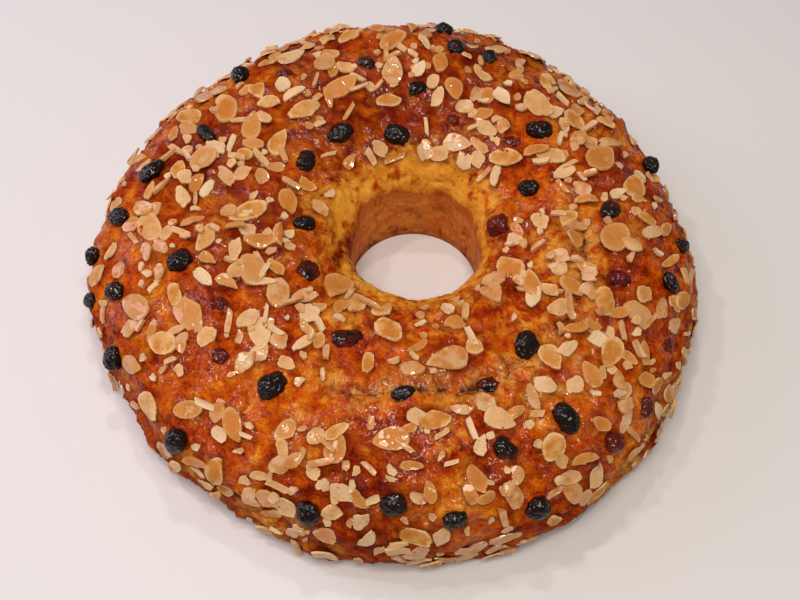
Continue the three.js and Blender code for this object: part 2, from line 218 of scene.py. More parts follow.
def mesh_from(name: str, points_mm: Array, faces: Sequence[Sequence[int]]) -> bpy.types.Mesh:
    """Makes a smooth-shaded mesh.

    Args:
        name: The mesh's name.
        points_mm: Vertices in millimetres, one a row.
        faces: Vertex numbers of each face.

    Returns:
        The mesh, in metres.
    """
    mesh = bpy.data.meshes.new(name)
    mesh.from_pydata((points_mm * MM).tolist(), [], faces)
    mesh.shade_smooth()
    return mesh


def store(mesh: bpy.types.Mesh, name: str, values: Array) -> None:
    """Keeps a number for each vertex, for a material or a node tree to read.

    Args:
        mesh: The mesh.
        name: The attribute's name.
        values: One number a vertex, or three.
    """
    kind, field_name = ("FLOAT_VECTOR", "vector") if values.ndim == 2 else ("FLOAT", "value")
    mesh.attributes.new(name, kind, "POINT").data.foreach_set(field_name, values.astype(np.float32).ravel())


def baked(piece: bpy.types.Object, name: str) -> bpy.types.Object:
    """Turns an object with live modifiers into a plain one, and removes the first.

    Args:
        piece: The object with modifiers.
        name: The new object's name.

    Returns:
        The plain object.
    """
    graph = bpy.context.evaluated_depsgraph_get()
    mesh = bpy.data.meshes.new_from_object(piece.evaluated_get(graph), depsgraph=graph)
    bpy.data.objects.remove(piece)
    mesh.name = name
    return new_object(name, mesh)


# --------------------------------------------------------------------------------------------------
# The form of the ring, shared with the solids


@dataclass(frozen=True)
class Swell:
    """A slow wave of the dough: whole waves round the ring, and half waves across the section."""

    height: float
    waves: int
    half_waves: int
    start: float


@dataclass(frozen=True)
class Lump:
    """A place where the dough rose higher than round about."""

    around: float
    across: float
    height: float
    reach: float


@dataclass(frozen=True)
class Fold:
    """A groove in the crust with a raised lip along each side."""

    start: float
    end: float
    start_across: float
    end_across: float
    depth: float
    half_width: float
    lip: float = 0.0
    lip_offset: float = 8.0
    wander: float = 0.0
    wander_turns: float = 1.0
    taper: float = 14.0

    def offset(self, around: Array, across: Array) -> tuple[Array, Array]:
        """Measures places against the fold's line.

        Args:
            around: Angles round the ring.
            across: Lengths across the section.

        Returns:
            Millimetres outwards from the line, and a share that falls to 0 past either end.
        """
        turned = (around - self.start) % 360
        run = self.end - self.start
        share = turned / run
        line = self.start_across + (self.end_across - self.start_across) * share
        wave = self.wander * np.sin(2 * np.pi * self.wander_turns * share)
        ends = ramp(turned, 0, self.taper) * (1 - ramp(turned, run - self.taper, run))
        return across - line - wave, ends

    def height(self, around: Array, across: Array) -> Array:
        """Returns what the fold adds: below zero in its groove, above zero on its lips."""
        offset, ends = self.offset(around, across)
        groove = self.depth * np.exp(-((offset / self.half_width) ** 2))
        lip = self.lip * np.exp(-(((np.abs(offset) - self.lip_offset) / self.half_width) ** 2))
        return ends * (lip - groove)


@dataclass(frozen=True)
class RingForm:
    """The ring of dough, by the same driving sizes as the solids."""

    outer_radius: float = 150.0
    bulge_height: float = 24.6
    foot_radius: float = 145.4
    crown_radius: float = 93.4
    crown_height: float = 65.8
    hole_radius: float = 32.6
    wall_height: float = 38.4
    axis: tuple[float, float] = (2.2, -0.9)
    hole_shift: tuple[float, float] = (9.5, 5.7)
    out_of_round: tuple[tuple[int, float, float], ...] = ((2, 1.5, 246.0), (3, 2.0, 212.0))
    foot_margin: float = 14.0
    arc_steps: int = 48
    nudge: float = 0.5  # step to each side that slopes are measured over
    swells: tuple[Swell, ...] = (
        Swell(0.9, 4, 1, 20),
        Swell(0.8, 5, 3, 110),
        Swell(0.6, 9, 4, 75),
        Swell(0.5, 13, 5, 310),
    )
    lumps: tuple[Lump, ...] = (
        Lump(87, 122, 3.2, 24),
        Lump(222, 140, 1.6, 34),
        Lump(12, 128, 1.4, 30),
    )
    seam: Fold = Fold(244, 366, 112, 102, 4.0, 3.6, 1.3, 8, 2.2, 3, 14)

    def __post_init__(self) -> None:
        """Works out the section's outline and the lengths along it."""
        turns = np.linspace(0, np.pi / 2, self.arc_steps + 1)
        inner = (
            self.crown_radius - (self.crown_radius - self.hole_radius) * np.cos(turns),
            self.wall_height + (self.crown_height - self.wall_height) * np.sin(turns),
        )
        outer = (
            self.crown_radius + (self.outer_radius - self.crown_radius) * np.sin(turns[1:]),
            self.bulge_height + (self.crown_height - self.bulge_height) * np.cos(turns[1:]),
        )
        foot = (
            self.foot_radius + (self.outer_radius - self.foot_radius) * np.cos(turns[1:]),
            self.bulge_height * (1 - np.sin(turns[1:])),
        )
        radii = np.concatenate([[self.hole_radius], inner[0], outer[0], foot[0]])
        heights = np.concatenate([[0.0], inner[1], outer[1], foot[1]])
        steps = np.hypot(np.diff(radii), np.diff(heights))
        object.__setattr__(self, "radii", radii)
        object.__setattr__(self, "heights", heights)
        object.__setattr__(self, "lengths", np.concatenate([[0.0], np.cumsum(steps)]))
        object.__setattr__(self, "length", float(steps.sum()))

    def radius(self, across: Array | float) -> Array:
        """Returns the plain section's radius at lengths across it."""
        return np.interp(across, self.lengths, self.radii)

    def plain(self, around: Array, across: Array) -> Array:
        """Places points on the ring without its swells.

        Args:
            around: Angles round the ring.
            across: Lengths across the section.

        Returns:
            Points in millimetres, along a last axis of three.
        """
        radius = self.radius(across)
        turn = np.radians(around)
        inward = np.clip((self.outer_radius - radius) / (self.outer_radius - self.hole_radius), 0, 1)
        rounded = radius + 0.0 * turn
        for waves, height, start in self.out_of_round:
            swing = height * radius / self.outer_radius
            rounded = rounded + (1 - inward) * swing * np.cos(waves * turn - math.radians(start))
        return np.stack(
            [
                self.axis[0] + inward * self.hole_shift[0] + rounded * np.cos(turn),
                self.axis[1] + inward * self.hole_shift[1] + rounded * np.sin(turn),
                np.interp(across, self.lengths, self.heights) + 0.0 * turn,
            ],
            axis=-1,
        )

    def outward_of(self, surface: Callable[[Array, Array], Array], around: Array, across: Array) -> Array:
        """Returns the outward direction of a surface at places on it.

        Args:
            surface: Gives points for angles and lengths.
            around: Angles round the ring.
            across: Lengths across the section.

        Returns:
            Directions of length 1.
        """
        low = np.maximum(across - self.nudge, 0)
        high = np.minimum(across + self.nudge, self.length)
        along_ring = surface(around + self.nudge, across) - surface(around - self.nudge, across)
        along_section = surface(around, high) - surface(around, low)
        outward = np.cross(along_section, along_ring)
        return outward / np.linalg.norm(outward, axis=-1, keepdims=True)

    def swell(self, around: Array, across: Array) -> Array:
        """Returns how far the crust stands out from the plain ring."""
        share = across / self.length
        height = np.zeros(np.broadcast(around, across).shape)
        for swell in self.swells:
            phase = np.radians(swell.waves * around - swell.start)
            height = height + swell.height * np.cos(phase) * np.sin(np.pi * swell.half_waves * share)
        for lump in self.lumps:
            height = height + lump.height * bell(self, lump, around, across)
        outer_fade = 1 - ramp(across, self.length - self.foot_margin, self.length)
        fade = ramp(across, 0, self.foot_margin) * outer_fade
        return fade * (height + self.seam.height(around, across))

    def crust(self, around: Array, across: Array) -> Array:
        """Returns points on the crust as the solids have it."""
        outward = self.outward_of(self.plain, around, across)
        return self.plain(around, across) + outward * self.swell(around, across)[..., None]

    def frame(self, around: float, across: float, lie: float, lean: float, towards: float) -> Matrix:
        """Finds how a flake at a place is turned.

        Args:
            around: Angle round the ring.
            across: Length across the section.
            lie: Turn of its long side from "around" towards "across", in degrees.
            lean: How far it leans out of the crust's slope, in degrees.
            towards: Direction of the axis that it leans about, in degrees.

        Returns:
            A rotation with x along the flake and z out of the crust.
        """
        spot = (np.array(around), np.array(across))
        outward = self.outward_of(self.crust, *spot)
        along = self.crust(spot[0] + self.nudge, spot[1]) - self.crust(spot[0] - self.nudge, spot[1])
        along = along - outward * (along @ outward)
        along = along / np.linalg.norm(along)
        axes = Matrix(np.stack([along, np.cross(outward, along), outward], axis=1).tolist())
        lean_axis = Vector((math.cos(math.radians(towards)), math.sin(math.radians(towards)), 0))
        leant = Matrix.Rotation(math.radians(lean), 3, lean_axis)
        turned = Matrix.Rotation(-math.radians(lie), 3, "Z")
        return axes @ leant @ turned


# --------------------------------------------------------------------------------------------------
# Raisins


RADIUS_SHARE = 0.57  # a raisin's mean radius over half the diagonal of its box

# How far the syrup has turned a raisin red-brown, by the number in its name, where it isn't PLAIN_SHARE.
SOAKED_SHARES = {
    10: 0.62,
    11: 0.62,
    16: 0.3,
    20: 0.32,
    25: 0.66,
    28: 0.72,
    33: 0.62,
    35: 0.34,
    36: 0.34,
    43: 0.66,
    44: 0.66,
    45: 0.62,
    46: 0.62,
    47: 0.62,
}
PLAIN_SHARE = 0.12


@dataclass(frozen=True)
class Raisin:
    """A raisin as the frame has it: its box's middle and half the box's diagonal, and how soaked it is."""

    name: str
    middle: Array
    reach: float
    soaked: float

    @property
    def radius(self) -> float:
        """Returns the raisin's mean radius."""
        return self.reach * RADIUS_SHARE


def raisins_of(nodes: Iterable[str]) -> list[Raisin]:
    """Reads where the raisins lie from the frame.

    Args:
        nodes: The frame's node names.

    Returns:
        The raisins, in millimetres.
    """
    found = []
    for name in sorted(n for n in nodes if n.startswith("raisin_")):
        low, high = (np.array(corner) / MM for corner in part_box(name))
        soaked = SOAKED_SHARES.get(int(name.rsplit("_", 1)[1]), PLAIN_SHARE)
        found.append(Raisin(name, (low + high) / 2, float(np.linalg.norm(high - low)) / 2, soaked))
    return found


@dataclass(frozen=True)
class DriedGrape:
    """Sun-dried grape skin: near black, deep red where syrup soaked in, with sharp glints on its folds."""

    name: str = "dried_grape_skin"
    skin: tuple[tuple[float, str], ...] = ((0.35, "#070302"), (0.75, "#1c0906"))
    flesh: tuple[tuple[float, str], ...] = ((0.35, "#360704"), (0.7, "#7c1a0c"))
    skin_grain_mm: float = 1.6
    patch_mm: float = 7.0

    def material(self) -> bpy.types.Material:
        """Builds the material. It reads how soaked each raisin is."""
        made = bpy.data.materials.new(self.name)
        made.use_nodes = True
        tree = made.node_tree
        shader = tree.nodes["Principled BSDF"]
        place = add_node(tree, "ShaderNodeTexCoord").outputs["Object"]
        soaked = add_node(tree, "ShaderNodeAttribute", {"attribute_name": "soaked"}).outputs["Fac"]

        def cloud(grain_mm: float) -> bpy.types.NodeSocket:
            """Adds a noise of one grain size."""
            inputs = {"Vector": place, "Scale": 1 / (grain_mm * MM), "Detail": 3.0}
            return add_node(tree, "ShaderNodeTexNoise", inputs=inputs).outputs["Fac"]

        grain = cloud(self.skin_grain_mm)
        skin = add_node(tree, "ShaderNodeValToRGB", inputs={"Fac": grain}, stops=self.skin).outputs["Color"]
        flesh = add_node(tree, "ShaderNodeValToRGB", inputs={"Fac": grain}, stops=self.flesh).outputs["Color"]
        level = add_node(
            tree, "ShaderNodeMath", {"operation": "ADD"}, {0: cloud(self.patch_mm), 1: soaked}
        ).outputs[0]
        show = add_node(
            tree, "ShaderNodeMapRange", inputs={"Value": level, "From Min": 0.7, "From Max": 0.95}
        )
        colour = add_node(
            tree, "ShaderNodeMix", {"data_type": "RGBA"}, {0: show.outputs["Result"], 6: skin, 7: flesh}
        )
        bump = add_node(
            tree, "ShaderNodeBump", inputs={"Height": grain, "Strength": 0.5, "Distance": 0.6 * MM}
        )
        tree.links.new(colour.outputs[2], shader.inputs["Base Color"])
        tree.links.new(bump.outputs["Normal"], shader.inputs["Normal"])
        shader.inputs["Roughness"].default_value = 0.6
        shader.inputs["Specular IOR Level"].default_value = 0.04
        shader.inputs["Coat Weight"].default_value = 0.75
        shader.inputs["Coat Roughness"].default_value = 0.04
        return made


@dataclass(frozen=True)
class RaisinHeap:
    """Raisins of one kind, joined into one piece: the solids' forms, rounded and wrinkled."""

    name: str
    members: tuple[Raisin, ...]
    material: bpy.types.Material
    swell_back: float = 1.1  # rounding shrinks a faceted form by about this much
    levels: int = 3
    fold_mm: float = 2.9
    fold_depth_mm: float = 0.85
    fold_steepness: float = 3.4
    fold_sharpness: float = 1.5
    fold_level: float = 0.35  # share of the folds' depth that the skin between them stands out
    dent_mm: float = 1.1
    dent_width: float = 1.8  # of a dent, over a fold's
    weld_mm: float = 0.01

    def build(self, nodes: dict[str, bpy.types.Object]) -> bpy.types.Object:
        """Makes the piece and lets it stand for the solids.

        Args:
            nodes: The frame's solids by name.

        Returns:
            The dressed piece.
        """
        joined = bmesh.new()
        for raisin in self.members:
            first = len(joined.verts)
            joined.from_mesh(nodes[raisin.name].data)
            joined.verts.ensure_lookup_table()
            middle = Vector(raisin.middle * MM)
            for corner in joined.verts[first:]:
                corner.co = middle + (corner.co - middle) * self.swell_back
        bmesh.ops.remove_doubles(joined, verts=joined.verts, dist=self.weld_mm * MM)
        mesh = bpy.data.meshes.new(self.name)
        joined.to_mesh(mesh)
        joined.free()
        rough = new_object(self.name + "_rough", mesh)
        rounding = rough.modifiers.new("rounding", "SUBSURF")
        rounding.levels = self.levels
        rounding.render_levels = self.levels
        piece = baked(rough, self.name)
        self.wrinkle(piece.data)
        piece.data.shade_smooth()
        piece.data.materials.clear()
        piece.data.materials.append(self.material)
        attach(piece, "root")
        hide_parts(*(raisin.name for raisin in self.members))
        return piece

    def wrinkle(self, mesh: bpy.types.Mesh) -> None:
        """Presses folds into the skin, along the surface's own directions, and stores how soaked it is.

        Args:
            mesh: The rounded raisins.
        """
        count = len(mesh.vertices)
        points = np.empty(count * 3)
        mesh.vertices.foreach_get("co", points)
        points = points.reshape(-1, 3) / MM
        outward = np.empty(count * 3, np.float32)
        mesh.vertex_normals.foreach_get("vector", outward)
        cloud = noise_over(points, self.fold_mm, 2, 40.0)
        folds = (1 - np.abs(cloud) * self.fold_steepness).clip(0, 1) ** self.fold_sharpness
        dents = noise_over(points, self.fold_mm * self.dent_width, 1, 7.0)
        height = self.fold_depth_mm * (self.fold_level - folds) + self.dent_mm * dents
        moved = points + outward.reshape(-1, 3) * height[:, None]
        mesh.vertices.foreach_set("co", (moved * MM).ravel())
        mesh.update()
        middles = np.array([raisin.middle for raisin in self.members])
        nearest = np.argmin(np.linalg.norm(points[:, None] - middles[None], axis=2), axis=1)
        store(mesh, "soaked", np.array([raisin.soaked for raisin in self.members])[nearest])


# --------------------------------------------------------------------------------------------------
# Crust


@dataclass(frozen=True)
class Tone:
    """A patch of the crust whose colour differs from round about."""

    around: float
    across: float
    reach: float
    strength: float

    def share(self, form: RingForm, around: Array, across: Array) -> Array:
        """Returns how strongly the patch colours each place."""
        return self.strength * bell(form, self, around, across)


@dataclass(frozen=True)
class CrustRelief:
    """What the crust has beyond the solids: thin folds, dough round the raisins, and wrinkled skin."""

    form: RingForm
    raisins: tuple[Raisin, ...]
    folds: tuple[Fold, ...] = (
        Fold(58, 116, 46, 50, 1.5, 1.3, 0.5, 3.0, 1.2, 2, 8),
        Fold(196, 218, 52, 56, 2.2, 1.8, 0.4, 4.0, 0.0, 1, 5),
        Fold(150, 190, 114, 124, 1.3, 2.4, 0.6, 5.0, 2.0, 1, 12),
        Fold(248, 268, 156, 140, 1.7, 2.0, 0.6, 5.0, 1.0, 1, 7),
        Fold(228, 256, 176, 184, 1.4, 3.0, 0.6, 7.0, 1.5, 1, 9),
        Fold(36, 66, 118, 112, 1.0, 2.6, 0.5, 6.0, 1.5, 1, 9),
        Fold(325, 352, 124, 117, 1.0, 2.6, 0.5, 6.0, 1.5, 1, 9),
    )
    shoulders: tuple[Lump, ...] = (
        Lump(355, 172, 2.4, 22),
        Lump(22, 170, -2.6, 28),
        Lump(90, 165, -2.3, 24),
        Lump(122, 165, -0.9, 16),
        Lump(160, 168, -1.3, 34),
        Lump(212, 188, -2.2, 24),
        Lump(238, 200, -3.2, 24),
        Lump(257, 202, 2.4, 17),
        Lump(306, 204, -2.6, 40),
    )
    outer_offset: float = -1.4
    outer_zone: tuple[float, float] = (120, 160)
    collar_height: float = 0.9
    collar_size: float = 1.25  # over the raisin's mean radius
    collar_width: float = 2.0
    dimple_depth: float = 1.2
    dimple_size: float = 0.8  # over the raisin's mean radius
    ridge_gain: float = 2.2
    ridge_level: float = 0.5
    swell_grain: float = 26.0
    swell_height: float = 1.2
    lump_grain: float = 17.0
    lump_height: float = 1.5
    skin_grain: float = 6.5
    skin_height: float = 0.8
    crease_grain: float = 15.0
    crease_depth: float = 1.0
    torn_grain: float = 3.4
    torn_height: float = 1.3
    seam_fill: float = 1.3
    bridge_grain: float = 19.0
    bridge_height: float = 2.6
    bridge_zone: tuple[float, float] = (-0.05, 0.25)
    beside_width: float = 6.5
    smooth_wall: float = 0.62
    lip_zone: tuple[float, float] = (46, 68)
    edge_mm: float = 8.0

    def creases(self, points: Array) -> Array:
        """Returns how deep in a crease of the skin each point lies, from 0 to 1."""
        return (1 - np.abs(noise_over(points, self.crease_grain, 2, 61.0)) * 5).clip(0, 1) ** 2

    def ridges(self, cloud: Array) -> Array:
        """Turns a noise into rounded lumps with narrow valleys between them."""
        return np.abs(cloud) * self.ridge_gain - self.ridge_level

    def height(self, around: Array, across: Array, points: Array) -> Array:
        """Returns how far the crust stands out from the solids' surface.

        Args:
            around: Angles round the ring, in one row.
            across: Lengths across the section, in one row.
            points: The solids' surface there, in millimetres.

        Returns:
            Millimetres outwards.
        """
        height = sum(fold.height(around, across) for fold in self.folds)
        for raisin in self.raisins:
            far = np.linalg.norm(points - raisin.middle, axis=1)
            collar = np.exp(-(((far - self.collar_size * raisin.radius) / self.collar_width) ** 2))
            dimple = np.exp(-((far / (self.dimple_size * raisin.radius)) ** 2))
            height = height + self.collar_height * collar - self.dimple_depth * dimple
        broad = noise_over(points, self.swell_grain, 2, 55.0)
        lumps = self.ridges(noise_over(points, self.lump_grain, 2, 91.0))
        skin = self.ridges(noise_over(points, self.skin_grain, 3, 3.0))
        torn = noise_over(points, self.torn_grain, 3, 17.0)
        bridges = ramp(noise_over(points, self.bridge_grain, 1, 133.0), *self.bridge_zone)
        offset, ends = self.form.seam.offset(around, across)
        groove = ends * np.exp(-((offset / self.form.seam.half_width) ** 2))
        beside = ends * np.exp(-((offset / self.beside_width) ** 2))
        height = height + self.swell_height * broad + self.lump_height * lumps + self.skin_height * skin
        height = height - self.crease_depth * self.creases(points)
        height = height + beside * self.torn_height * torn
        height = height + groove * (self.seam_fill + (self.bridge_height - self.seam_fill) * bridges)
        height = height * (1 - self.smooth_wall * (1 - ramp(across, *self.lip_zone)))
        foot_edge = ramp(across, self.form.length - self.edge_mm, self.form.length)
        height = height * ramp(across, 0, self.edge_mm) * (1 - foot_edge)
        shape = self.outer_offset * ramp(across, *self.outer_zone)
        for lump in self.shoulders:
            shape = shape + lump.height * bell(self.form, lump, around, across)
        return height + shape


@dataclass(frozen=True)
class CrustTones:
    """How browned, pale and wet the crust is from place to place; the browning also holds painted shade in
    creases, folds and hollows.
    """

    form: RingForm
    relief: CrustRelief
    band_across: float = 53.0
    band_width: float = 9.0
    band_bright_at: float = 145.0
    lip_across: float = 44.0
    lip_width: float = 4.0
    lip_bright_at: float = 25.0
    blotch_grain: float = 16.0
    fleck_grain: float = 5.0
    gap_grain: float = 12.0
    pool_grain: float = 18.0
    seam_pale: tuple[tuple[float, float], ...] = ((5.0, 0.34), (-6.0, 0.15))
    seam_pale_width: float = 5.0
    crack_width: float = 2.4
    crack_strength: float = 1.1
    crumb_width: float = 5.0
    foot_zone: tuple[float, float] = (172, 200)
    wall_zone: tuple[float, float] = (30, 52)
    soft_zone: tuple[float, float] = (50, 66)
    wet_zone: tuple[float, float] = (52, 66)
    dry_zone: tuple[float, float] = (160, 195)
    pale: tuple[Tone, ...] = (
        Tone(62, 116, 14, 0.4),
        Tone(66, 52, 16, 0.5),
        Tone(245, 111, 13, 0.4),
        Tone(242, 76, 14, 0.45),
        Tone(308, 127, 16, 0.28),
        Tone(339, 106, 14, 0.34),
        Tone(4, 97, 12, 0.45),
        Tone(350, 80, 14, 0.35),
        Tone(285, 62, 22, 0.25),
        Tone(163, 68, 14, 0.6),
        Tone(250, 180, 17, 0.6),
        Tone(232, 180, 15, 0.5),
        Tone(262, 190, 12, 0.4),
        Tone(318, 196, 22, 0.55),
        Tone(345, 186, 20, 0.5),
        Tone(5, 172, 16, 0.4),
        Tone(340, 92, 16, 0.35),
        Tone(308, 88, 20, 0.25),
        Tone(62, 146, 18, 0.4),
        Tone(28, 146, 16, 0.4),
        Tone(95, 150, 16, 0.4),
        Tone(283, 131, 13, 0.35),
        Tone(330, 174, 18, 0.35),
        Tone(246, 196, 14, 0.3),
    )
    # Darker patches: browner crust, and painted shade at some, such as beside raisins.
    brown_and_shade: tuple[Tone, ...] = (
        Tone(130, 82, 22, 0.6),
        Tone(70, 84, 20, 0.35),
        Tone(95, 84, 26, 0.5),
        Tone(191, 88, 22, 0.6),
        Tone(268, 176, 30, 0.45),
        Tone(300, 93, 18, 0.3),
        Tone(318, 114, 10, 0.45),
        Tone(120, 136, 22, 0.6),
        Tone(158, 140, 22, 0.3),
        Tone(216, 178, 20, 0.3),
        Tone(8, 55, 12, 0.4),
        Tone(346, 58, 12, 0.3),
        Tone(190, 40, 10, 1.0),
        Tone(198, 52, 8, 0.7),
        Tone(72, 130, 18, 1.0),
        Tone(163, 120, 24, 0.75),
        Tone(12, 112, 14, 0.35),
        Tone(104, 104, 20, 0.35),
        Tone(312, 58, 9, 0.5),
        Tone(24, 128, 14, 0.3),
    )

    def write(self, mesh: bpy.types.Mesh, around: Array, across: Array, points: Array) -> None:
        """Stores the tones on the crust.

        Args:
            mesh: The crust.
            around: Angle of each vertex.
            across: Length across of each vertex.
            points: Each vertex in millimetres.
        """
        blotch = noise_over(points, self.blotch_grain, 3, 23.0)
        fleck = noise_over(points, self.fleck_grain, 3, 71.0)
        offset, ends = self.form.seam.offset(around, across)
        facing = 0.5 + 0.5 * np.cos(np.radians(around - self.band_bright_at))
        lip_facing = np.cos(np.radians(around - self.lip_bright_at)).clip(0, 1)
        ridge = np.exp(-(((across - self.lip_across) / self.lip_width) ** 2)) * (0.2 + 0.6 * lip_facing)
        ragged = across + 9.0 * blotch + 4.0 * fleck
        band = np.exp(-(((ragged - self.band_across) / self.band_width) ** 2)) * (0.4 + 0.8 * facing)
        pale = np.zeros(len(around))
        for beside, strength in self.seam_pale:
            pale = pale + ends * strength * np.exp(-(((offset - beside) / self.seam_pale_width) ** 2))
        for tone in self.pale:
            pale = pale + tone.share(self.form, around, across)
        pale = pale * (1 + 1.3 * fleck) + (band + ridge) * (1 + 0.9 * fleck) + 0.18 * blotch.clip(0, 1)
        # Browning: darker towards the outer foot, painted shade in the skin's creases, and darker towards the
        # foot of the hole's wall.
        brown_and_shade = 0.2 * ramp(across, *self.foot_zone) + 0.45 * self.relief.creases(points)
        brown_and_shade = brown_and_shade + 0.5 * ramp(across, 16, 0)
        for tone in self.brown_and_shade:
            brown_and_shade = brown_and_shade + tone.share(self.form, around, across)
        # Painted shade along the folds' grooves.
        for fold in self.relief.folds:
            beside, near_fold = fold.offset(around, across)
            brown_and_shade = brown_and_shade + 0.5 * near_fold * np.exp(-((beside / fold.half_width) ** 2))
        brown_and_shade = (brown_and_shade * (1 + 0.8 * fleck)).clip(0, 1)
        pale = pale * (1 - 0.7 * brown_and_shade)
        # Painted shade in the seam's crack, in broken stretches along it.
        broken = ramp(noise_over(points, self.gap_grain, 2, 133.0), 0.18, -0.08)
        crack = np.exp(-((offset / self.crack_width) ** 2))
        crack_shade = self.crack_strength * ends * broken * crack * (1 + fleck).clip(0, 1.5)
        crumb = np.exp(-((offset / self.crumb_width) ** 2))
        torn = ends * crumb * (0.55 + 1.6 * fleck + 0.8 * blotch)
        wall = 1 - ramp(across, *self.wall_zone)
        soft = 1 - ramp(across, *self.soft_zone)
        pools = ramp(noise_over(points, self.pool_grain, 3, 201.0), -0.15, 0.15)
        wet = 0.75 * pools * ramp(across, *self.wet_zone) * (1 - ramp(across, *self.dry_zone))
        wet = wet * (1 - 0.75 * pale.clip(0, 1))
        store(mesh, "pale", pale.clip(0, 1))
        store(mesh, "brown_and_shade", brown_and_shade)
        store(mesh, "crack_shade", crack_shade.clip(0, 1))
        store(mesh, "torn", torn.clip(0, 1))
        store(mesh, "wall", wall)
        store(mesh, "soft", soft)
        store(mesh, "wet", wet.clip(0, 1))


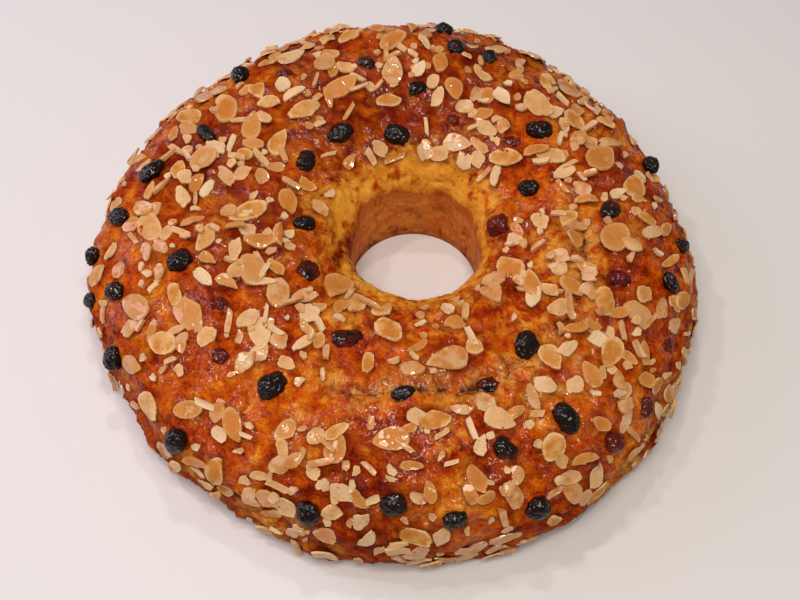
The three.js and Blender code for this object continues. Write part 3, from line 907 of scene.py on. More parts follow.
@dataclass(frozen=True)
class GlazedCrust:
    """Egg-washed yeast crust, browned in baking and brushed with syrup: mottled amber under a thin wet shine.
    """

    name: str = "glazed_baked_crust"
    mottle: tuple[tuple[float, str], ...] = (
        (0.37, "#560e02"),
        (0.43, "#902602"),
        (0.49, "#ba4804"),
        (0.55, "#d26a0a"),
        (0.62, "#e69a34"),
    )
    golden: tuple[tuple[float, str], ...] = (
        (0.34, "#c4701a"),
        (0.46, "#d68b26"),
        (0.58, "#e2a240"),
        (0.72, "#ebbd66"),
    )
    crumb_side: tuple[tuple[float, str], ...] = (
        (0.26, "#c2601a"),
        (0.45, "#d67a28"),
        (0.60, "#e2903c"),
        (0.78, "#ecac5c"),
    )
    torn_crumb: tuple[tuple[float, str], ...] = (
        (0.30, "#8a4412"),
        (0.45, "#c47a2c"),
        (0.60, "#dca058"),
        (0.75, "#e8be86"),
    )
    deep_brown_and_shade: str = "#6e1803"
    # Syrup browned along the flakes' edges, and painted shade there.
    flake_edge_syrup_and_shade: str = "#5c1403"
    seam_shade: str = "#4c1a06"
    fleck: str = "#5a1203"
    patch_mm: float = 24.0
    blotch_mm: float = 7.0
    grain_mm: float = 2.4
    pore_mm: float = 1.2
    layer_mm: float = 16.0
    ripple_mm: float = 4.2
    bead_mm: float = 2.0

    def material(self) -> bpy.types.Material:
        """Builds the material. It reads the tones that are stored on the crust."""
        made = bpy.data.materials.new(self.name)
        made.use_nodes = True
        tree = made.node_tree
        shader = tree.nodes["Principled BSDF"]
        place = add_node(tree, "ShaderNodeTexCoord").outputs["Object"]

        def cloud(
            grain_mm: float, detail: float, twist: float = 0.0, vector: bpy.types.NodeSocket = place
        ) -> bpy.types.NodeSocket:
            """Adds a noise of one grain size and returns its value."""
            inputs = {
                "Vector": vector,
                "Scale": 1 / (grain_mm * MM),
                "Detail": detail,
                "Roughness": 0.62,
                "Distortion": twist,
            }
            return add_node(tree, "ShaderNodeTexNoise", inputs=inputs).outputs["Fac"]

        def tone(name: str) -> bpy.types.NodeSocket:
            """Reads a stored tone."""
            return add_node(tree, "ShaderNodeAttribute", {"attribute_name": name}).outputs["Fac"]

        def number(
            operation: str, first: bpy.types.NodeSocket | float, second: bpy.types.NodeSocket | float
        ) -> bpy.types.NodeSocket:
            """Adds a sum or product of numbers."""
            made_node = add_node(tree, "ShaderNodeMath", {"operation": operation}, {0: first, 1: second})
            return made_node.outputs[0]

        def span(
            value: bpy.types.NodeSocket, low: float, high: float, start: float = 0.0, end: float = 1.0
        ) -> bpy.types.NodeSocket:
            """Stretches a value from low and high to start and end."""
            inputs = {"Value": value, "From Min": low, "From Max": high, "To Min": start, "To Max": end}
            return add_node(tree, "ShaderNodeMapRange", inputs=inputs).outputs["Result"]

        def blend(
            share: bpy.types.NodeSocket | float,
            below: bpy.types.NodeSocket,
            above: bpy.types.NodeSocket | tuple[float, ...],
        ) -> bpy.types.NodeSocket:
            """Mixes one colour over another."""
            return add_node(
                tree, "ShaderNodeMix", {"data_type": "RGBA"}, {0: share, 6: below, 7: above}
            ).outputs[2]

        def ramped(value: bpy.types.NodeSocket, stops: Sequence[tuple[float, str]]) -> bpy.types.NodeSocket:
            """Colours a value."""
            return add_node(tree, "ShaderNodeValToRGB", inputs={"Fac": value}, stops=stops).outputs["Color"]

        patches = cloud(self.patch_mm, 4.0, 0.3)
        blotches = cloud(self.blotch_mm, 4.0, 0.2)
        grains = cloud(self.grain_mm, 3.0)
        pores = cloud(self.pore_mm, 3.0)
        mixed = number("ADD", number("MULTIPLY", patches, 0.34), number("MULTIPLY", blotches, 0.38))
        mixed = number("ADD", mixed, number("MULTIPLY", grains, 0.18))
        mixed = number("ADD", mixed, number("MULTIPLY", pores, 0.10))
        colour = ramped(mixed, self.mottle)
        stretched = add_node(
            tree,
            "ShaderNodeMapping",
            inputs={"Vector": place, "Rotation": (0.12, 0.08, 0), "Scale": (1, 1, 2.0)},
        )
        layers = cloud(self.layer_mm, 4.0, 0.3, stretched.outputs["Vector"])
        colour = blend(tone("wall"), colour, ramped(layers, self.crumb_side))
        # Browner crust, and painted shade in creases, folds and hollows.
        colour = blend(tone("brown_and_shade"), colour, linear(self.deep_brown_and_shade))
        ragged = number("ADD", tone("pale"), number("MULTIPLY", number("SUBTRACT", blotches, 0.5), 0.9))
        ragged = number("ADD", ragged, number("MULTIPLY", number("SUBTRACT", grains, 0.5), 0.3))
        shown = number("MULTIPLY", span(ragged, 0.2, 0.8), span(tone("pale"), 0.04, 0.3))
        colour = blend(shown, colour, ramped(mixed, self.golden))
        darker = number("MULTIPLY", span(grains, 0.58, 0.68, 0.0, 0.6), span(shown, 0.2, 0.8, 1.0, 0.25))
        colour = blend(darker, colour, linear(self.fleck))
        # Darker along the flakes' edges: syrup browned there, and painted shade where the flakes meet the
        # crust.
        colour = blend(number("MULTIPLY", tone("syrup_and_shade"), 0.4), colour, linear(self.flake_edge_syrup_and_shade))
        colour = blend(tone("torn"), colour, ramped(pores, self.torn_crumb))
        # Painted shade in the seam's crack.
        colour = blend(tone("crack_shade"), colour, linear(self.seam_shade))
        relief = number("ADD", number("MULTIPLY", blotches, 1.0), number("MULTIPLY", grains, 0.55))
        relief = number("ADD", relief, number("MULTIPLY", pores, 0.4))
        relief = number("MULTIPLY", relief, span(tone("soft"), 0.0, 1.0, 1.0, 0.5))
        bump = add_node(
            tree, "ShaderNodeBump", inputs={"Height": relief, "Strength": 0.9, "Distance": 1.5 * MM}
        )
        ripple = number("ADD", cloud(self.ripple_mm, 0.0), number("MULTIPLY", cloud(self.bead_mm, 0.0), 0.6))
        coat_bump = add_node(
            tree, "ShaderNodeBump", inputs={"Height": ripple, "Strength": 1.0, "Distance": 1.4 * MM}
        )
        tree.links.new(colour, shader.inputs["Base Color"])
        tree.links.new(span(grains, 0.3, 0.7, 0.42, 0.62), shader.inputs["Roughness"])
        tree.links.new(bump.outputs["Normal"], shader.inputs["Normal"])
        tree.links.new(coat_bump.outputs["Normal"], shader.inputs["Coat Normal"])
        tree.links.new(tone("wet"), shader.inputs["Coat Weight"])
        shader.inputs["Specular IOR Level"].default_value = 0.05
        shader.inputs["Coat Roughness"].default_value = 0.05
        shader.inputs["Coat IOR"].default_value = 1.46
        return made


@dataclass(frozen=True)
class Crust:
    """The baked surface of the ring, as one closed skin over the whole cake."""

    form: RingForm
    relief: CrustRelief
    tones: CrustTones
    finish: GlazedCrust
    columns: int = 560
    wall_rows: int = 16
    crust_rows: int = 126
    foot_rows: int = 8
    underside_rows: int = 4
    wall_end: float = 38.4
    foot_start: float = 198.0
    lip_reach: float = 0.9
    lip_starts: tuple[float, float] = (276, 296)
    lip_ends: tuple[float, float] = (344, 358)
    lip_above_foot: float = 2.5
    lip_width: float = 2.2

    def rows(self) -> Array:
        """Returns the lengths across of the rows: close together on top, wider on the wall and the foot."""
        wall = np.linspace(0, self.wall_end, self.wall_rows, endpoint=False)
        top = np.linspace(self.wall_end, self.foot_start, self.crust_rows, endpoint=False)
        return np.concatenate([wall, top, np.linspace(self.foot_start, self.form.length, self.foot_rows)])

    def base_lip(self, around: Array, across: Array) -> Array:
        """Returns how far the thin crust at the foot stands out, on the near right side."""
        ends = ramp(around, *self.lip_starts) * (1 - ramp(around, *self.lip_ends))
        far = (across - self.form.length + self.lip_above_foot) / self.lip_width
        return self.lip_reach * ends * np.exp(-(far**2))

    def build(self) -> bpy.types.Object:
        """Makes the piece and lets it stand for the ring's solid."""
        rows = self.rows()
        turns = np.arange(self.columns) * 360 / self.columns
        around, across = (grid.ravel() for grid in np.meshgrid(turns, rows, indexing="ij"))
        solid = self.form.crust(around, across)
        outward = self.form.outward_of(self.form.crust, around, across)
        height = self.relief.height(around, across, solid) + self.base_lip(around, across)
        points = solid + outward * height[:, None]
        points[:, 2] = np.maximum(points[:, 2], 0)
        points = points.reshape(self.columns, len(rows), 3)
        shares = np.linspace(0, 1, self.underside_rows + 2)[1:-1, None]
        under = points[:, -1:] * (1 - shares) + points[:, :1] * shares
        points = np.concatenate([points, under], axis=1)
        count = points.shape[1]
        faces = []
        for column in range(self.columns):
            here = column * count
            following = ((column + 1) % self.columns) * count
            for row in range(count):
                above = (row + 1) % count
                faces.append((here + row, here + above, following + above, following + row))
        points = points.reshape(-1, 3)
        mesh = mesh_from("ring_crust", points, faces)
        around_all = np.repeat(turns, count)
        across_column = np.concatenate([rows, np.full(self.underside_rows, self.form.length)])
        across_all = np.tile(across_column, self.columns)
        self.tones.write(mesh, around_all, across_all, points)
        mesh.materials.append(self.finish.material())
        piece = new_object("ring_crust", mesh)
        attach(piece, "root")
        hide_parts("ring")
        return piece


# --------------------------------------------------------------------------------------------------
# Almonds


class FlakeForm(Enum):
    """The outlines that sliced almonds have and break into."""

    WHOLE = "whole slice"
    BLUNT = "slice with its end gone"
    BROKEN = "slice snapped across"
    HALF = "slice split along its length"
    ROD = "thin stick"
    CHIP = "small angular piece"


# Cuts that trim each form: a direction in degrees and a distance from the middle, on a slice of unit size.
FORM_CUTS: dict[FlakeForm, tuple[tuple[float, float], ...]] = {
    FlakeForm.WHOLE: (),
    FlakeForm.BLUNT: ((8, 0.40), (128, 0.43)),
    FlakeForm.BROKEN: ((12, 0.22), (205, 0.38), (285, 0.40)),
    FlakeForm.HALF: ((265, 0.12), (20, 0.42)),
    FlakeForm.ROD: ((0, 0.46), (90, 0.40), (178, 0.47), (270, 0.42)),
    FlakeForm.CHIP: ((15, 0.40), (95, 0.34), (170, 0.42), (235, 0.36), (310, 0.40)),
}


@dataclass(frozen=True)
class FlakeShape:
    """A thin plate of one form, one long, one wide and one thick, to be scaled to a flake's size."""

    form: FlakeForm
    variant: int
    corners: int = 16
    taper: tuple[float, float] = (0.12, 0.42)
    point: float = 0.3
    bow: float = 0.07
    lobe: float = 0.05
    wobble: float = 0.03
    cut_turn: float = 30.0
    cut_shift: float = 0.05
    torn: float = 0.03
    top_inset: float = 0.96
    inner_rings: tuple[tuple[float, float, float], ...] = ((0.7, 0.6, 0.5), (0.36, 0.95, 0.12))
    dish: float = 0.16

    def outline(self) -> Array:
        """Returns the corners of the outline, filling one unit each way."""
        rng = np.random.default_rng(self.variant * 37 + len(self.form.value))
        turns = 2 * np.pi * (np.arange(self.corners) + 0.5) / self.corners
        boxy = self.form in (FlakeForm.ROD, FlakeForm.CHIP)
        ahead = np.cos(turns)
        width = 1 - rng.uniform(*self.taper) * ahead - self.point * ahead.clip(0, 1) ** 3
        points = np.stack([ahead, np.sin(turns) * (1.0 if boxy else width)], axis=1) * (1.0 if boxy else 0.5)
        points[:, 1] += self.bow * rng.uniform(-1, 1) * (2 * ahead**2 - 1)
        start = rng.uniform(0, 2 * np.pi, 2)
        lobes = np.cos(2 * turns + start[0]) + np.cos(3 * turns + start[1])
        points *= 1 + (self.lobe * lobes / 2 + self.wobble * rng.uniform(-1, 1, self.corners))[:, None]
        for turn, reach in FORM_CUTS[self.form]:
            angle = math.radians(turn + self.cut_turn * rng.uniform(-0.5, 0.5))
            shift = self.cut_shift * rng.uniform(-1, 1)
            limit = reach + shift + self.torn * rng.uniform(-1, 1, self.corners)
            depth = points @ np.array([math.cos(angle), math.sin(angle)])
            points *= np.minimum(1, limit / np.maximum(depth, 1e-6))[:, None]
        low, high = points.min(axis=0), points.max(axis=0)
        return (points - (low + high) / 2) / (high - low)

    def mesh(self, name: str) -> bpy.types.Mesh:
        """Builds the plate.

        Args:
            name: The mesh's name.

        Returns:
            A closed mesh with its own coordinates and the share towards the rim as attributes.
        """
        outline = self.outline()
        rings = [(outline, 0.0, 1.0), (outline * self.top_inset, 1.0, 1.0)]
        rings += [(outline * size, 1.0 - sunk * self.dish, share) for size, sunk, share in self.inner_rings]
        points = [(x, y, z) for ring, z, _ in rings for x, y in ring] + [(0, 0, 1.0 - self.dish)]
        rim = [share for ring, _, share in rings for _ in ring] + [0.0]
        count = self.corners
        faces: list[tuple[int, ...]] = [tuple(reversed(range(count)))]
        for level in range(len(rings) - 1):
            for i in range(count):
                after = (i + 1) % count
                low, high = level * count, (level + 1) * count
                faces.append((low + i, low + after, high + after, high + i))
        last = (len(rings) - 1) * count
        faces += [(last + i, last + (i + 1) % count, len(points) - 1) for i in range(count)]
        mesh = bpy.data.meshes.new(name)
        mesh.from_pydata(points, [], faces)
        mesh.shade_smooth()
        mesh.set_sharp_from_angle(angle=math.radians(50))
        store(mesh, "local", np.array(points))
        store(mesh, "rim", np.array(rim))
        return mesh


@dataclass(frozen=True)
class Flake:
    """One piece of almond: its place on the crust, its size and how it lies."""

    around: float
    across: float
    long: float
    wide: float
    lie: float
    lean: float
    towards: float
    middle: Array
    form: FlakeForm = FlakeForm.WHOLE
    thick: float = 0.9
    crowded: float = 0.0


@dataclass(frozen=True)
class FlakeRule:
    """How the flakes of the solids are laid: the large ones where they are seen, the rest by chance."""

    form: RingForm
    raisins: tuple[Raisin, ...]
    seed: int = 20117
    count: int = 58
    longest: float = 16.0
    shortest: float = 11.0
    narrowest: float = 0.52
    widest: float = 0.74
    tries: int = 300
    spacing: float = 0.43
    most_lean: float = 7.0
    bare_below: float = 64.0
    bare_above: float = 196.0
    thin_around: float = 308.0
    thin_across: float = 88.0
    thin_reach: float = 22.0
    thin_share: float = 0.25
    blunt_every: int = 3
    blunt_share: float = 0.55
    large: tuple[tuple[float, float, float, float, float], ...] = (
        (210, 128, 21, 13, 0),
        (201, 148, 19, 12, 150),
        (212, 144, 16, 11, 140),
        (183, 137, 19, 12, 165),
        (219, 169, 15, 10, 15),
        (180, 94, 20, 11, 60),
        (204, 96, 17, 13, 20),
        (216, 91, 17, 11, 35),
        (226, 66, 18, 15, 60),
        (240, 67, 13, 10, 85),
        (225, 109, 17, 11, 35),
        (236, 147, 17, 9, 40),
        (262, 79, 17, 12, 50),
        (284, 96, 21, 14, 165),
        (294, 127, 15, 10, 40),
        (279, 122, 15, 9, 0),
        (269, 130, 17, 11, 170),
        (303, 147, 14, 11, 150),
        (304, 170, 16, 9, 90),
        (314, 113, 14, 10, 100),
        (326, 132, 16, 11, 170),
        (339, 136, 16, 12, 120),
        (356, 116, 18, 14, 30),
        (316, 69, 14, 10, 100),
        (335, 67, 18, 12, 110),
        (97, 106, 17, 11, 100),
        (115, 103, 20, 11, 170),
        (131, 100, 18, 10, 10),
        (147, 96, 16, 9, 165),
        (146, 112, 17, 10, 150),
        (144, 131, 18, 13, 150),
        (115, 121, 14, 11, 130),
        (162, 122, 16, 12, 20),
        (95, 127, 17, 12, 150),
        (120, 139, 17, 10, 165),
        (24, 122, 19, 15, 60),
        (49, 113, 18, 13, 20),
        (42, 77, 18, 10, 145),
        (68, 70, 15, 10, 160),
        (31, 97, 16, 10, 140),
        (48, 141, 17, 12, 20),
        (14, 134, 16, 12, 30),
    )

    def share(self, around: float, across: float) -> float:
        """Returns the share of wanted flakes that a place takes."""
        if across < self.bare_below or across > self.bare_above:
            return 0.0
        sideways = math.radians(float(turn_between(self.thin_around, around))) * self.form.crown_radius
        near = math.hypot(sideways, across - self.thin_across) < self.thin_reach
        return self.thin_share if near else 1.0

    def is_clear(self, flake: Flake, placed: Iterable[Flake]) -> bool:
        """Tells whether a flake would lie clear of those before it and of every raisin."""
        for other in placed:
            if np.linalg.norm(flake.middle - other.middle) < self.spacing * (flake.long + other.long):
                return False
        for raisin in self.raisins:
            if np.linalg.norm(flake.middle - raisin.middle) < raisin.reach + flake.wide / 2:
                return False
        return True

    def wanted(self, long: float, draw: Draw) -> tuple[Flake, bool]:
        """Draws one flake at a random place.

        Args:
            long: Its length.
            draw: The row of draws. It always takes seven.

        Returns:
            The flake, and whether its place takes it.
        """
        around = 360 * draw()
        across = self.form.length * draw()
        keep = draw()
        wide = long * (self.narrowest + (self.widest - self.narrowest) * draw())
        lie = 360 * draw()
        lean = self.most_lean * draw()
        towards = 360 * draw()
        share = self.share(around, across) * float(self.form.radius(across)) / self.form.outer_radius
        middle = self.form.crust(np.array(around), np.array(across))
        form = FlakeForm.BLUNT if lie < 360 * self.blunt_share else FlakeForm.WHOLE
        return Flake(around, across, long, wide, lie, lean, towards, middle, form), keep < share

    def lay(self) -> list[Flake]:
        """Lays the flakes.

        Returns:
            The large ones, then the others from long to short.
        """
        draw = Draw(self.seed)
        placed = []
        for around, across, long, wide, lie in self.large:
            lean = self.most_lean * draw()
            towards = 360 * draw()
            middle = self.form.crust(np.array(around), np.array(across))
            form = FlakeForm.BLUNT if len(placed) % self.blunt_every == 0 else FlakeForm.WHOLE
            placed.append(Flake(around, across, long, wide, lie, lean, towards, middle, form))
        for i in range(self.count):
            long = self.longest + (self.shortest - self.longest) * i / self.count
            for _ in range(self.tries):
                flake, taken = self.wanted(long, draw)
                if taken and self.is_clear(flake, placed):
                    placed.append(flake)
                    break
        return placed


@dataclass(frozen=True)
class SmallKind:
    """A kind of smaller piece that is strewn between the large flakes."""

    form: FlakeForm
    count: int
    long: tuple[float, float]
    wide: tuple[float, float]
    thick: tuple[float, float]
    spacing: float
    lean: float


@dataclass(frozen=True)
class Clump:
    """A place where the smaller pieces lie closer together than round about."""

    around: float
    across: float
    reach: float
    strength: float

    def share(self, form: RingForm, around: float, across: float) -> float:
        """Returns how much the clump adds at a place."""
        return self.strength * float(bell(form, self, around, across))


@dataclass(frozen=True)
class Strewn:
    """The smaller broken pieces between and on the large flakes."""

    rule: FlakeRule
    seed: int = 4410
    band_below: float = 57.0
    band_above: float = 205.0
    tries: int = 80
    even_share: float = 0.34
    rule_from: float = 66.0  # nearer the hole, the rule is read here
    rule_to: float = 190.0  # and nearer the foot, here
    lean_power: float = 1.5
    raisin_share: float = 0.72  # of a raisin's reach that stays bare
    length_share: float = 0.35  # and of the piece's length
    kinds: tuple[SmallKind, ...] = (
        SmallKind(FlakeForm.BROKEN, 120, (8.0, 13.0), (6.0, 9.0), (0.7, 1.0), 0.27, 12),
        SmallKind(FlakeForm.HALF, 90, (9.0, 14.0), (4.2, 6.4), (0.7, 1.1), 0.26, 14),
        SmallKind(FlakeForm.BLUNT, 80, (8.0, 12.5), (5.5, 8.5), (0.7, 1.0), 0.27, 12),
        SmallKind(FlakeForm.ROD, 130, (6.5, 13.5), (2.0, 3.6), (1.0, 1.8), 0.18, 16),
        SmallKind(FlakeForm.CHIP, 270, (3.0, 6.8), (2.4, 5.2), (0.7, 1.4), 0.24, 18),
    )
    clumps: tuple[Clump, ...] = (
        Clump(335, 73, 17, 1.5),
        Clump(227, 96, 18, 1.4),
        Clump(207, 103, 20, 0.9),
        Clump(187, 134, 22, 0.7),
        Clump(212, 140, 22, 0.7),
        Clump(95, 106, 16, 0.8),
        Clump(71, 93, 13, 1.1),
        Clump(40, 131, 20, 0.9),
        Clump(328, 129, 20, 0.9),
        Clump(287, 137, 17, 0.9),
        Clump(254, 163, 18, 1.2),
        Clump(272, 151, 14, 0.6),
        Clump(56, 74, 13, 1.0),
        Clump(160, 118, 24, 0.6),
        Clump(120, 125, 26, 0.4),
        Clump(14, 120, 24, 0.5),
        Clump(300, 150, 26, 0.35),
    )

    def lay(self, placed: list[Flake]) -> list[Flake]:
        """Strews the pieces.

        Args:
            placed: The large flakes.

        Returns:
            The small pieces alone.
        """
        rng = np.random.default_rng(self.seed)
        form = self.rule.form
        strewn: list[Flake] = []
        for kind in self.kinds:
            for _ in range(kind.count):
                for _ in range(self.tries):
                    around = float(rng.uniform(0, 360))
                    across = float(rng.uniform(self.band_below, self.band_above))
                    middle = form.crust(np.array(around), np.array(across))
                    share = float(form.radius(across)) / form.outer_radius
                    thin = self.rule.share(around, min(max(across, self.rule_from), self.rule_to))
                    close = sum(clump.share(form, around, across) for clump in self.clumps)
                    if rng.uniform() > share * thin * (self.even_share + close):
                        continue
                    flake = Flake(
                        around,
                        across,
                        float(rng.uniform(*kind.long)),
                        float(rng.uniform(*kind.wide)),
                        float(rng.uniform(0, 360)),
                        float(kind.lean * rng.uniform() ** self.lean_power),
                        float(rng.uniform(0, 360)),
                        middle,
                        kind.form,
                        float(rng.uniform(*kind.thick)),
                        min(close, 1.0),
                    )
                    if self.clear(flake, kind.spacing, placed + strewn):
                        strewn.append(flake)
                        break
        return strewn

    def clear(self, flake: Flake, spacing: float, others: Iterable[Flake]) -> bool:
        """Tells whether a piece lies off the raisins and not right on top of another piece."""
        for raisin in self.rule.raisins:
            bare = self.raisin_share * raisin.reach + flake.long * self.length_share
            if np.linalg.norm(flake.middle - raisin.middle) < bare:
                return False
        for other in others:
            if np.linalg.norm(flake.middle - other.middle) < spacing * (flake.long + other.long):
                return False
        return True


@dataclass(frozen=True)
class FlakedAlmond:
    """Blanched almond, sliced thin and baked: cream at the cut rim, toasted inside, glassy under syrup."""

    name: str = "toasted_flaked_almond"
    nut: tuple[tuple[float, str], ...] = ((0.34, "#bf7d36"), (0.5, "#d09852"), (0.66, "#ddae72"))
    rim: str = "#e8c794"
    toasted: str = "#be7022"
    pale: str = "#ecd5b2"
    soaked: str = "#c2701a"
    speck: str = "#a05c22"
    grain_mm: float = 4.5
    fibre_mm: float = 0.9
    film_mm: float = 5.0

    def material(self) -> bpy.types.Material:
        """Builds the material. It reads how toasted, soaked and near the rim each place is."""
        made = bpy.data.materials.new(self.name)
        made.use_nodes = True
        tree = made.node_tree
        shader = tree.nodes["Principled BSDF"]
        place = add_node(tree, "ShaderNodeTexCoord").outputs["Object"]

        def stored(name: str) -> bpy.types.NodeSocket:
            """Reads a stored number."""
            return add_node(tree, "ShaderNodeAttribute", {"attribute_name": name}).outputs["Fac"]

        def blend(
            share: bpy.types.NodeSocket, below: bpy.types.NodeSocket, above: str
        ) -> bpy.types.NodeSocket:
            """Mixes a fixed colour over another."""
            inputs = {0: share, 6: below, 7: linear(above)}
            return add_node(tree, "ShaderNodeMix", {"data_type": "RGBA"}, inputs).outputs[2]

        def span(value: bpy.types.NodeSocket, low: float, high: float, to: float) -> bpy.types.NodeSocket:
            """Stretches a value from low and high to 0 and to."""
            inputs = {"Value": value, "From Min": low, "From Max": high, "To Max": to}
            return add_node(tree, "ShaderNodeMapRange", inputs=inputs).outputs["Result"]

        def number(
            operation: str, first: bpy.types.NodeSocket, second: bpy.types.NodeSocket
        ) -> bpy.types.NodeSocket:
            """Adds a sum or product of numbers."""
            made_node = add_node(tree, "ShaderNodeMath", {"operation": operation}, {0: first, 1: second})
            return made_node.outputs[0]

        def cloud(grain_mm: float, detail: float) -> bpy.types.NodeSocket:
            """Adds a noise of one grain size."""
            inputs = {"Vector": place, "Scale": 1 / (grain_mm * MM), "Detail": detail}
            return add_node(tree, "ShaderNodeTexNoise", inputs=inputs).outputs["Fac"]

        grain = cloud(self.grain_mm, 3.0)
        fibre = cloud(self.fibre_mm, 2.0)
        nut = add_node(tree, "ShaderNodeValToRGB", inputs={"Fac": grain}, stops=self.nut).outputs["Color"]
        wavy = number("ADD", stored("rim"), span(grain, 0.3, 0.7, 0.5))
        inside = span(wavy, 1.1, 0.4, 0.85)
        roast = number("MULTIPLY", inside, span(stored("tint"), 0.15, 0.9, 1.0))
        colour = blend(roast, nut, self.toasted)
        colour = blend(span(stored("tint"), 0.4, 0.0, 0.8), colour, self.pale)
        lit = number("MULTIPLY", span(stored("rim"), 0.55, 0.95, 0.75), span(grain, 0.34, 0.54, 1.0))
        colour = blend(lit, colour, self.rim)
        colour = blend(span(fibre, 0.55, 0.72, 0.4), colour, self.speck)
        soaked = number("MULTIPLY", stored("wet"), span(grain, 0.35, 0.6, 0.9))
        colour = blend(soaked, colour, self.soaked)
        even = add_node(tree, "ShaderNodeMix", {"data_type": "FLOAT"}, {0: 0.5, 2: grain, 3: fibre})
        relief = even.outputs[0]
        bump = add_node(
            tree, "ShaderNodeBump", inputs={"Height": relief, "Strength": 0.8, "Distance": 0.9 * MM}
        )
        film = cloud(self.film_mm, 0.0)
        coat_bump = add_node(tree, "ShaderNodeBump", inputs={"Height": film, "Distance": 1.1 * MM})
        tree.links.new(coat_bump.outputs["Normal"], shader.inputs["Coat Normal"])
        coat = span(stored("wet"), 0.3, 0.8, 1.0)
        tree.links.new(colour, shader.inputs["Base Color"])
        tree.links.new(bump.outputs["Normal"], shader.inputs["Normal"])
        tree.links.new(coat, shader.inputs["Coat Weight"])
        shader.inputs["Roughness"].default_value = 0.5
        shader.inputs["Specular IOR Level"].default_value = 0.15
        shader.inputs["Coat Roughness"].default_value = 0.05
        shader.inputs["Subsurface Weight"].default_value = 0.15
        shader.inputs["Subsurface Radius"].default_value = (1.0, 0.55, 0.25)
        shader.inputs["Subsurface Scale"].default_value = 1.2 * MM
        return made


@dataclass(frozen=True)
class FlakeScatter:
    """Puts one plate for each flake on the crust with a node tree, and bends it to the crust."""

    name: str
    flakes: tuple[Flake, ...]
    form: RingForm
    surface: BVHTree
    finish: FlakedAlmond
    seed: int
    variants: int = 5
    sunk_mm: float = 0.45
    clearance_mm: float = 0.4
    paler_small: float = 0.5
    paler_crowded: float = 0.5
    stack_mm: float = 0.75
    most_stacked: int = 2
    overlap: float = 0.30
    reach_mm: float = 6.0
    supple: float = 0.8
    least_bend: float = -0.6
    most_bend: float = 3.0
    waviness_mm: float = 0.7
    wave_mm: float = 7.5
    diagonal: float = 0.6  # how far out the crust is felt towards a flake's corners
    tint_bent: tuple[float, float] = (2.0, 2.2)
    wet_chance: float = 0.5
    wet_range: tuple[float, float] = (0.6, 1.0)
    dry_range: tuple[float, float] = (0.0, 0.3)

    def seat(self, point: Array, outward: Array) -> tuple[Array, bool]:
        """Finds the crust under a point.

        Args:
            point: The point, in millimetres.
            outward: Direction away from the crust.

        Returns:
            The place on the crust, in millimetres, and whether there is one.
        """
        start = Vector((point + outward * self.reach_mm) * MM)
        hit = self.surface.ray_cast(start, Vector(-outward), 2 * self.reach_mm * MM)[0]
        return (point, False) if hit is None else (np.array(hit) / MM, True)

    def lay(self, flake: Flake, axes: Matrix) -> tuple[Array, Array]:
        """Fits a flake to the crust under it.

        Args:
            flake: The flake.
            axes: How it is turned.

        Returns:
            Its middle in millimetres, on the highest crust under it, and how far its ends bend down.
        """
        sides = np.array(axes)[:, :2] * (flake.long / 2, flake.wide / 2)
        outward = np.array(axes.col[2])
        cross = [(0, 0), (1, 0), (-1, 0), (0, 1), (0, -1)]
        corners = [(x * self.diagonal, y * self.diagonal) for x in (1, -1) for y in (1, -1)]
        spots = np.array(cross + corners)
        heights = np.zeros(len(spots))
        for index, spot in enumerate(spots):
            place = flake.middle + sides @ spot
            found, hit = self.seat(place, outward)
            heights[index] = float((found - flake.middle) @ outward) if hit else -self.reach_mm
        falls = heights[0] - np.array([heights[1:3].mean(), heights[3:5].mean()])
        bends = np.clip(falls * self.supple, self.least_bend, self.most_bend)
        lift = np.max(heights + spots**2 @ bends)
        return flake.middle + outward * lift, bends

    def cloud(self) -> bpy.types.Mesh:
        """Builds a mesh of one vertex a flake, with what the tree needs to know of each."""
        rng = np.random.default_rng(self.seed)
        forms = list(FlakeForm)
        places, turns, sizes, outwards, bends = [], [], [], [], []
        shapes, tints, wets = [], [], []
        for index, flake in enumerate(self.flakes):
            axes = self.form.frame(flake.around, flake.across, flake.lie, flake.lean, flake.towards)
            outward = np.array(axes.col[2])
            middle, bend = self.lay(flake, axes)
            beneath = sum(
                float(np.linalg.norm(middle - other.middle)) < self.overlap * (flake.long + other.long)
                for other in self.flakes[:index]
            )
            lift = self.stack_mm * min(beneath, self.most_stacked) - self.sunk_mm
            places.append((middle + outward * lift) * MM)
            turns.append(tuple(axes.to_euler()))
            sizes.append(np.array([flake.long, flake.wide, flake.thick]) * MM)
            outwards.append(outward)
            bends.append(np.array([*bend, 0]) * MM)
            shapes.append(forms.index(flake.form) * self.variants + index % self.variants)
            small = flake.form in (FlakeForm.CHIP, FlakeForm.ROD, FlakeForm.BROKEN)
            paler = (self.paler_small if small else 1.0) * (1 - self.paler_crowded * flake.crowded)
            tints.append(rng.beta(*self.tint_bent) * paler)
            is_wet = rng.uniform() < self.wet_chance
            wets.append(rng.uniform(*(self.wet_range if is_wet else self.dry_range)))
        mesh = bpy.data.meshes.new(self.name + "_places")
        mesh.from_pydata([tuple(place) for place in places], [], [])
        for name, values in (("turn", turns), ("size", sizes), ("outward", outwards), ("bend", bends)):
            store(mesh, name, np.array(values))
        for name, numbers in (("shape", shapes), ("tint", tints), ("wet", wets)):
            store(mesh, name, np.array(numbers, float))
        return mesh

    def tree(self, shapes: bpy.types.Collection, material: bpy.types.Material) -> bpy.types.NodeTree:
        """Builds the node tree that puts a plate on each point.

        Args:
            shapes: The plates, named in the order of their numbers.
            material: What they are made of.

        Returns:
            The tree, with its sizes as named inputs.
        """
        tree = bpy.data.node_groups.new(self.name + "_scatter", "GeometryNodeTree")
        tree.interface.new_socket("Geometry", in_out="INPUT", socket_type="NodeSocketGeometry")
        for name in ("Waviness", "Wave Size"):
            tree.interface.new_socket(name, in_out="INPUT", socket_type="NodeSocketFloat")
        tree.interface.new_socket("Seed", in_out="INPUT", socket_type="NodeSocketInt")
        tree.interface.new_socket("Geometry", in_out="OUTPUT", socket_type="NodeSocketGeometry")
        given = add_node(tree, "NodeGroupInput").outputs

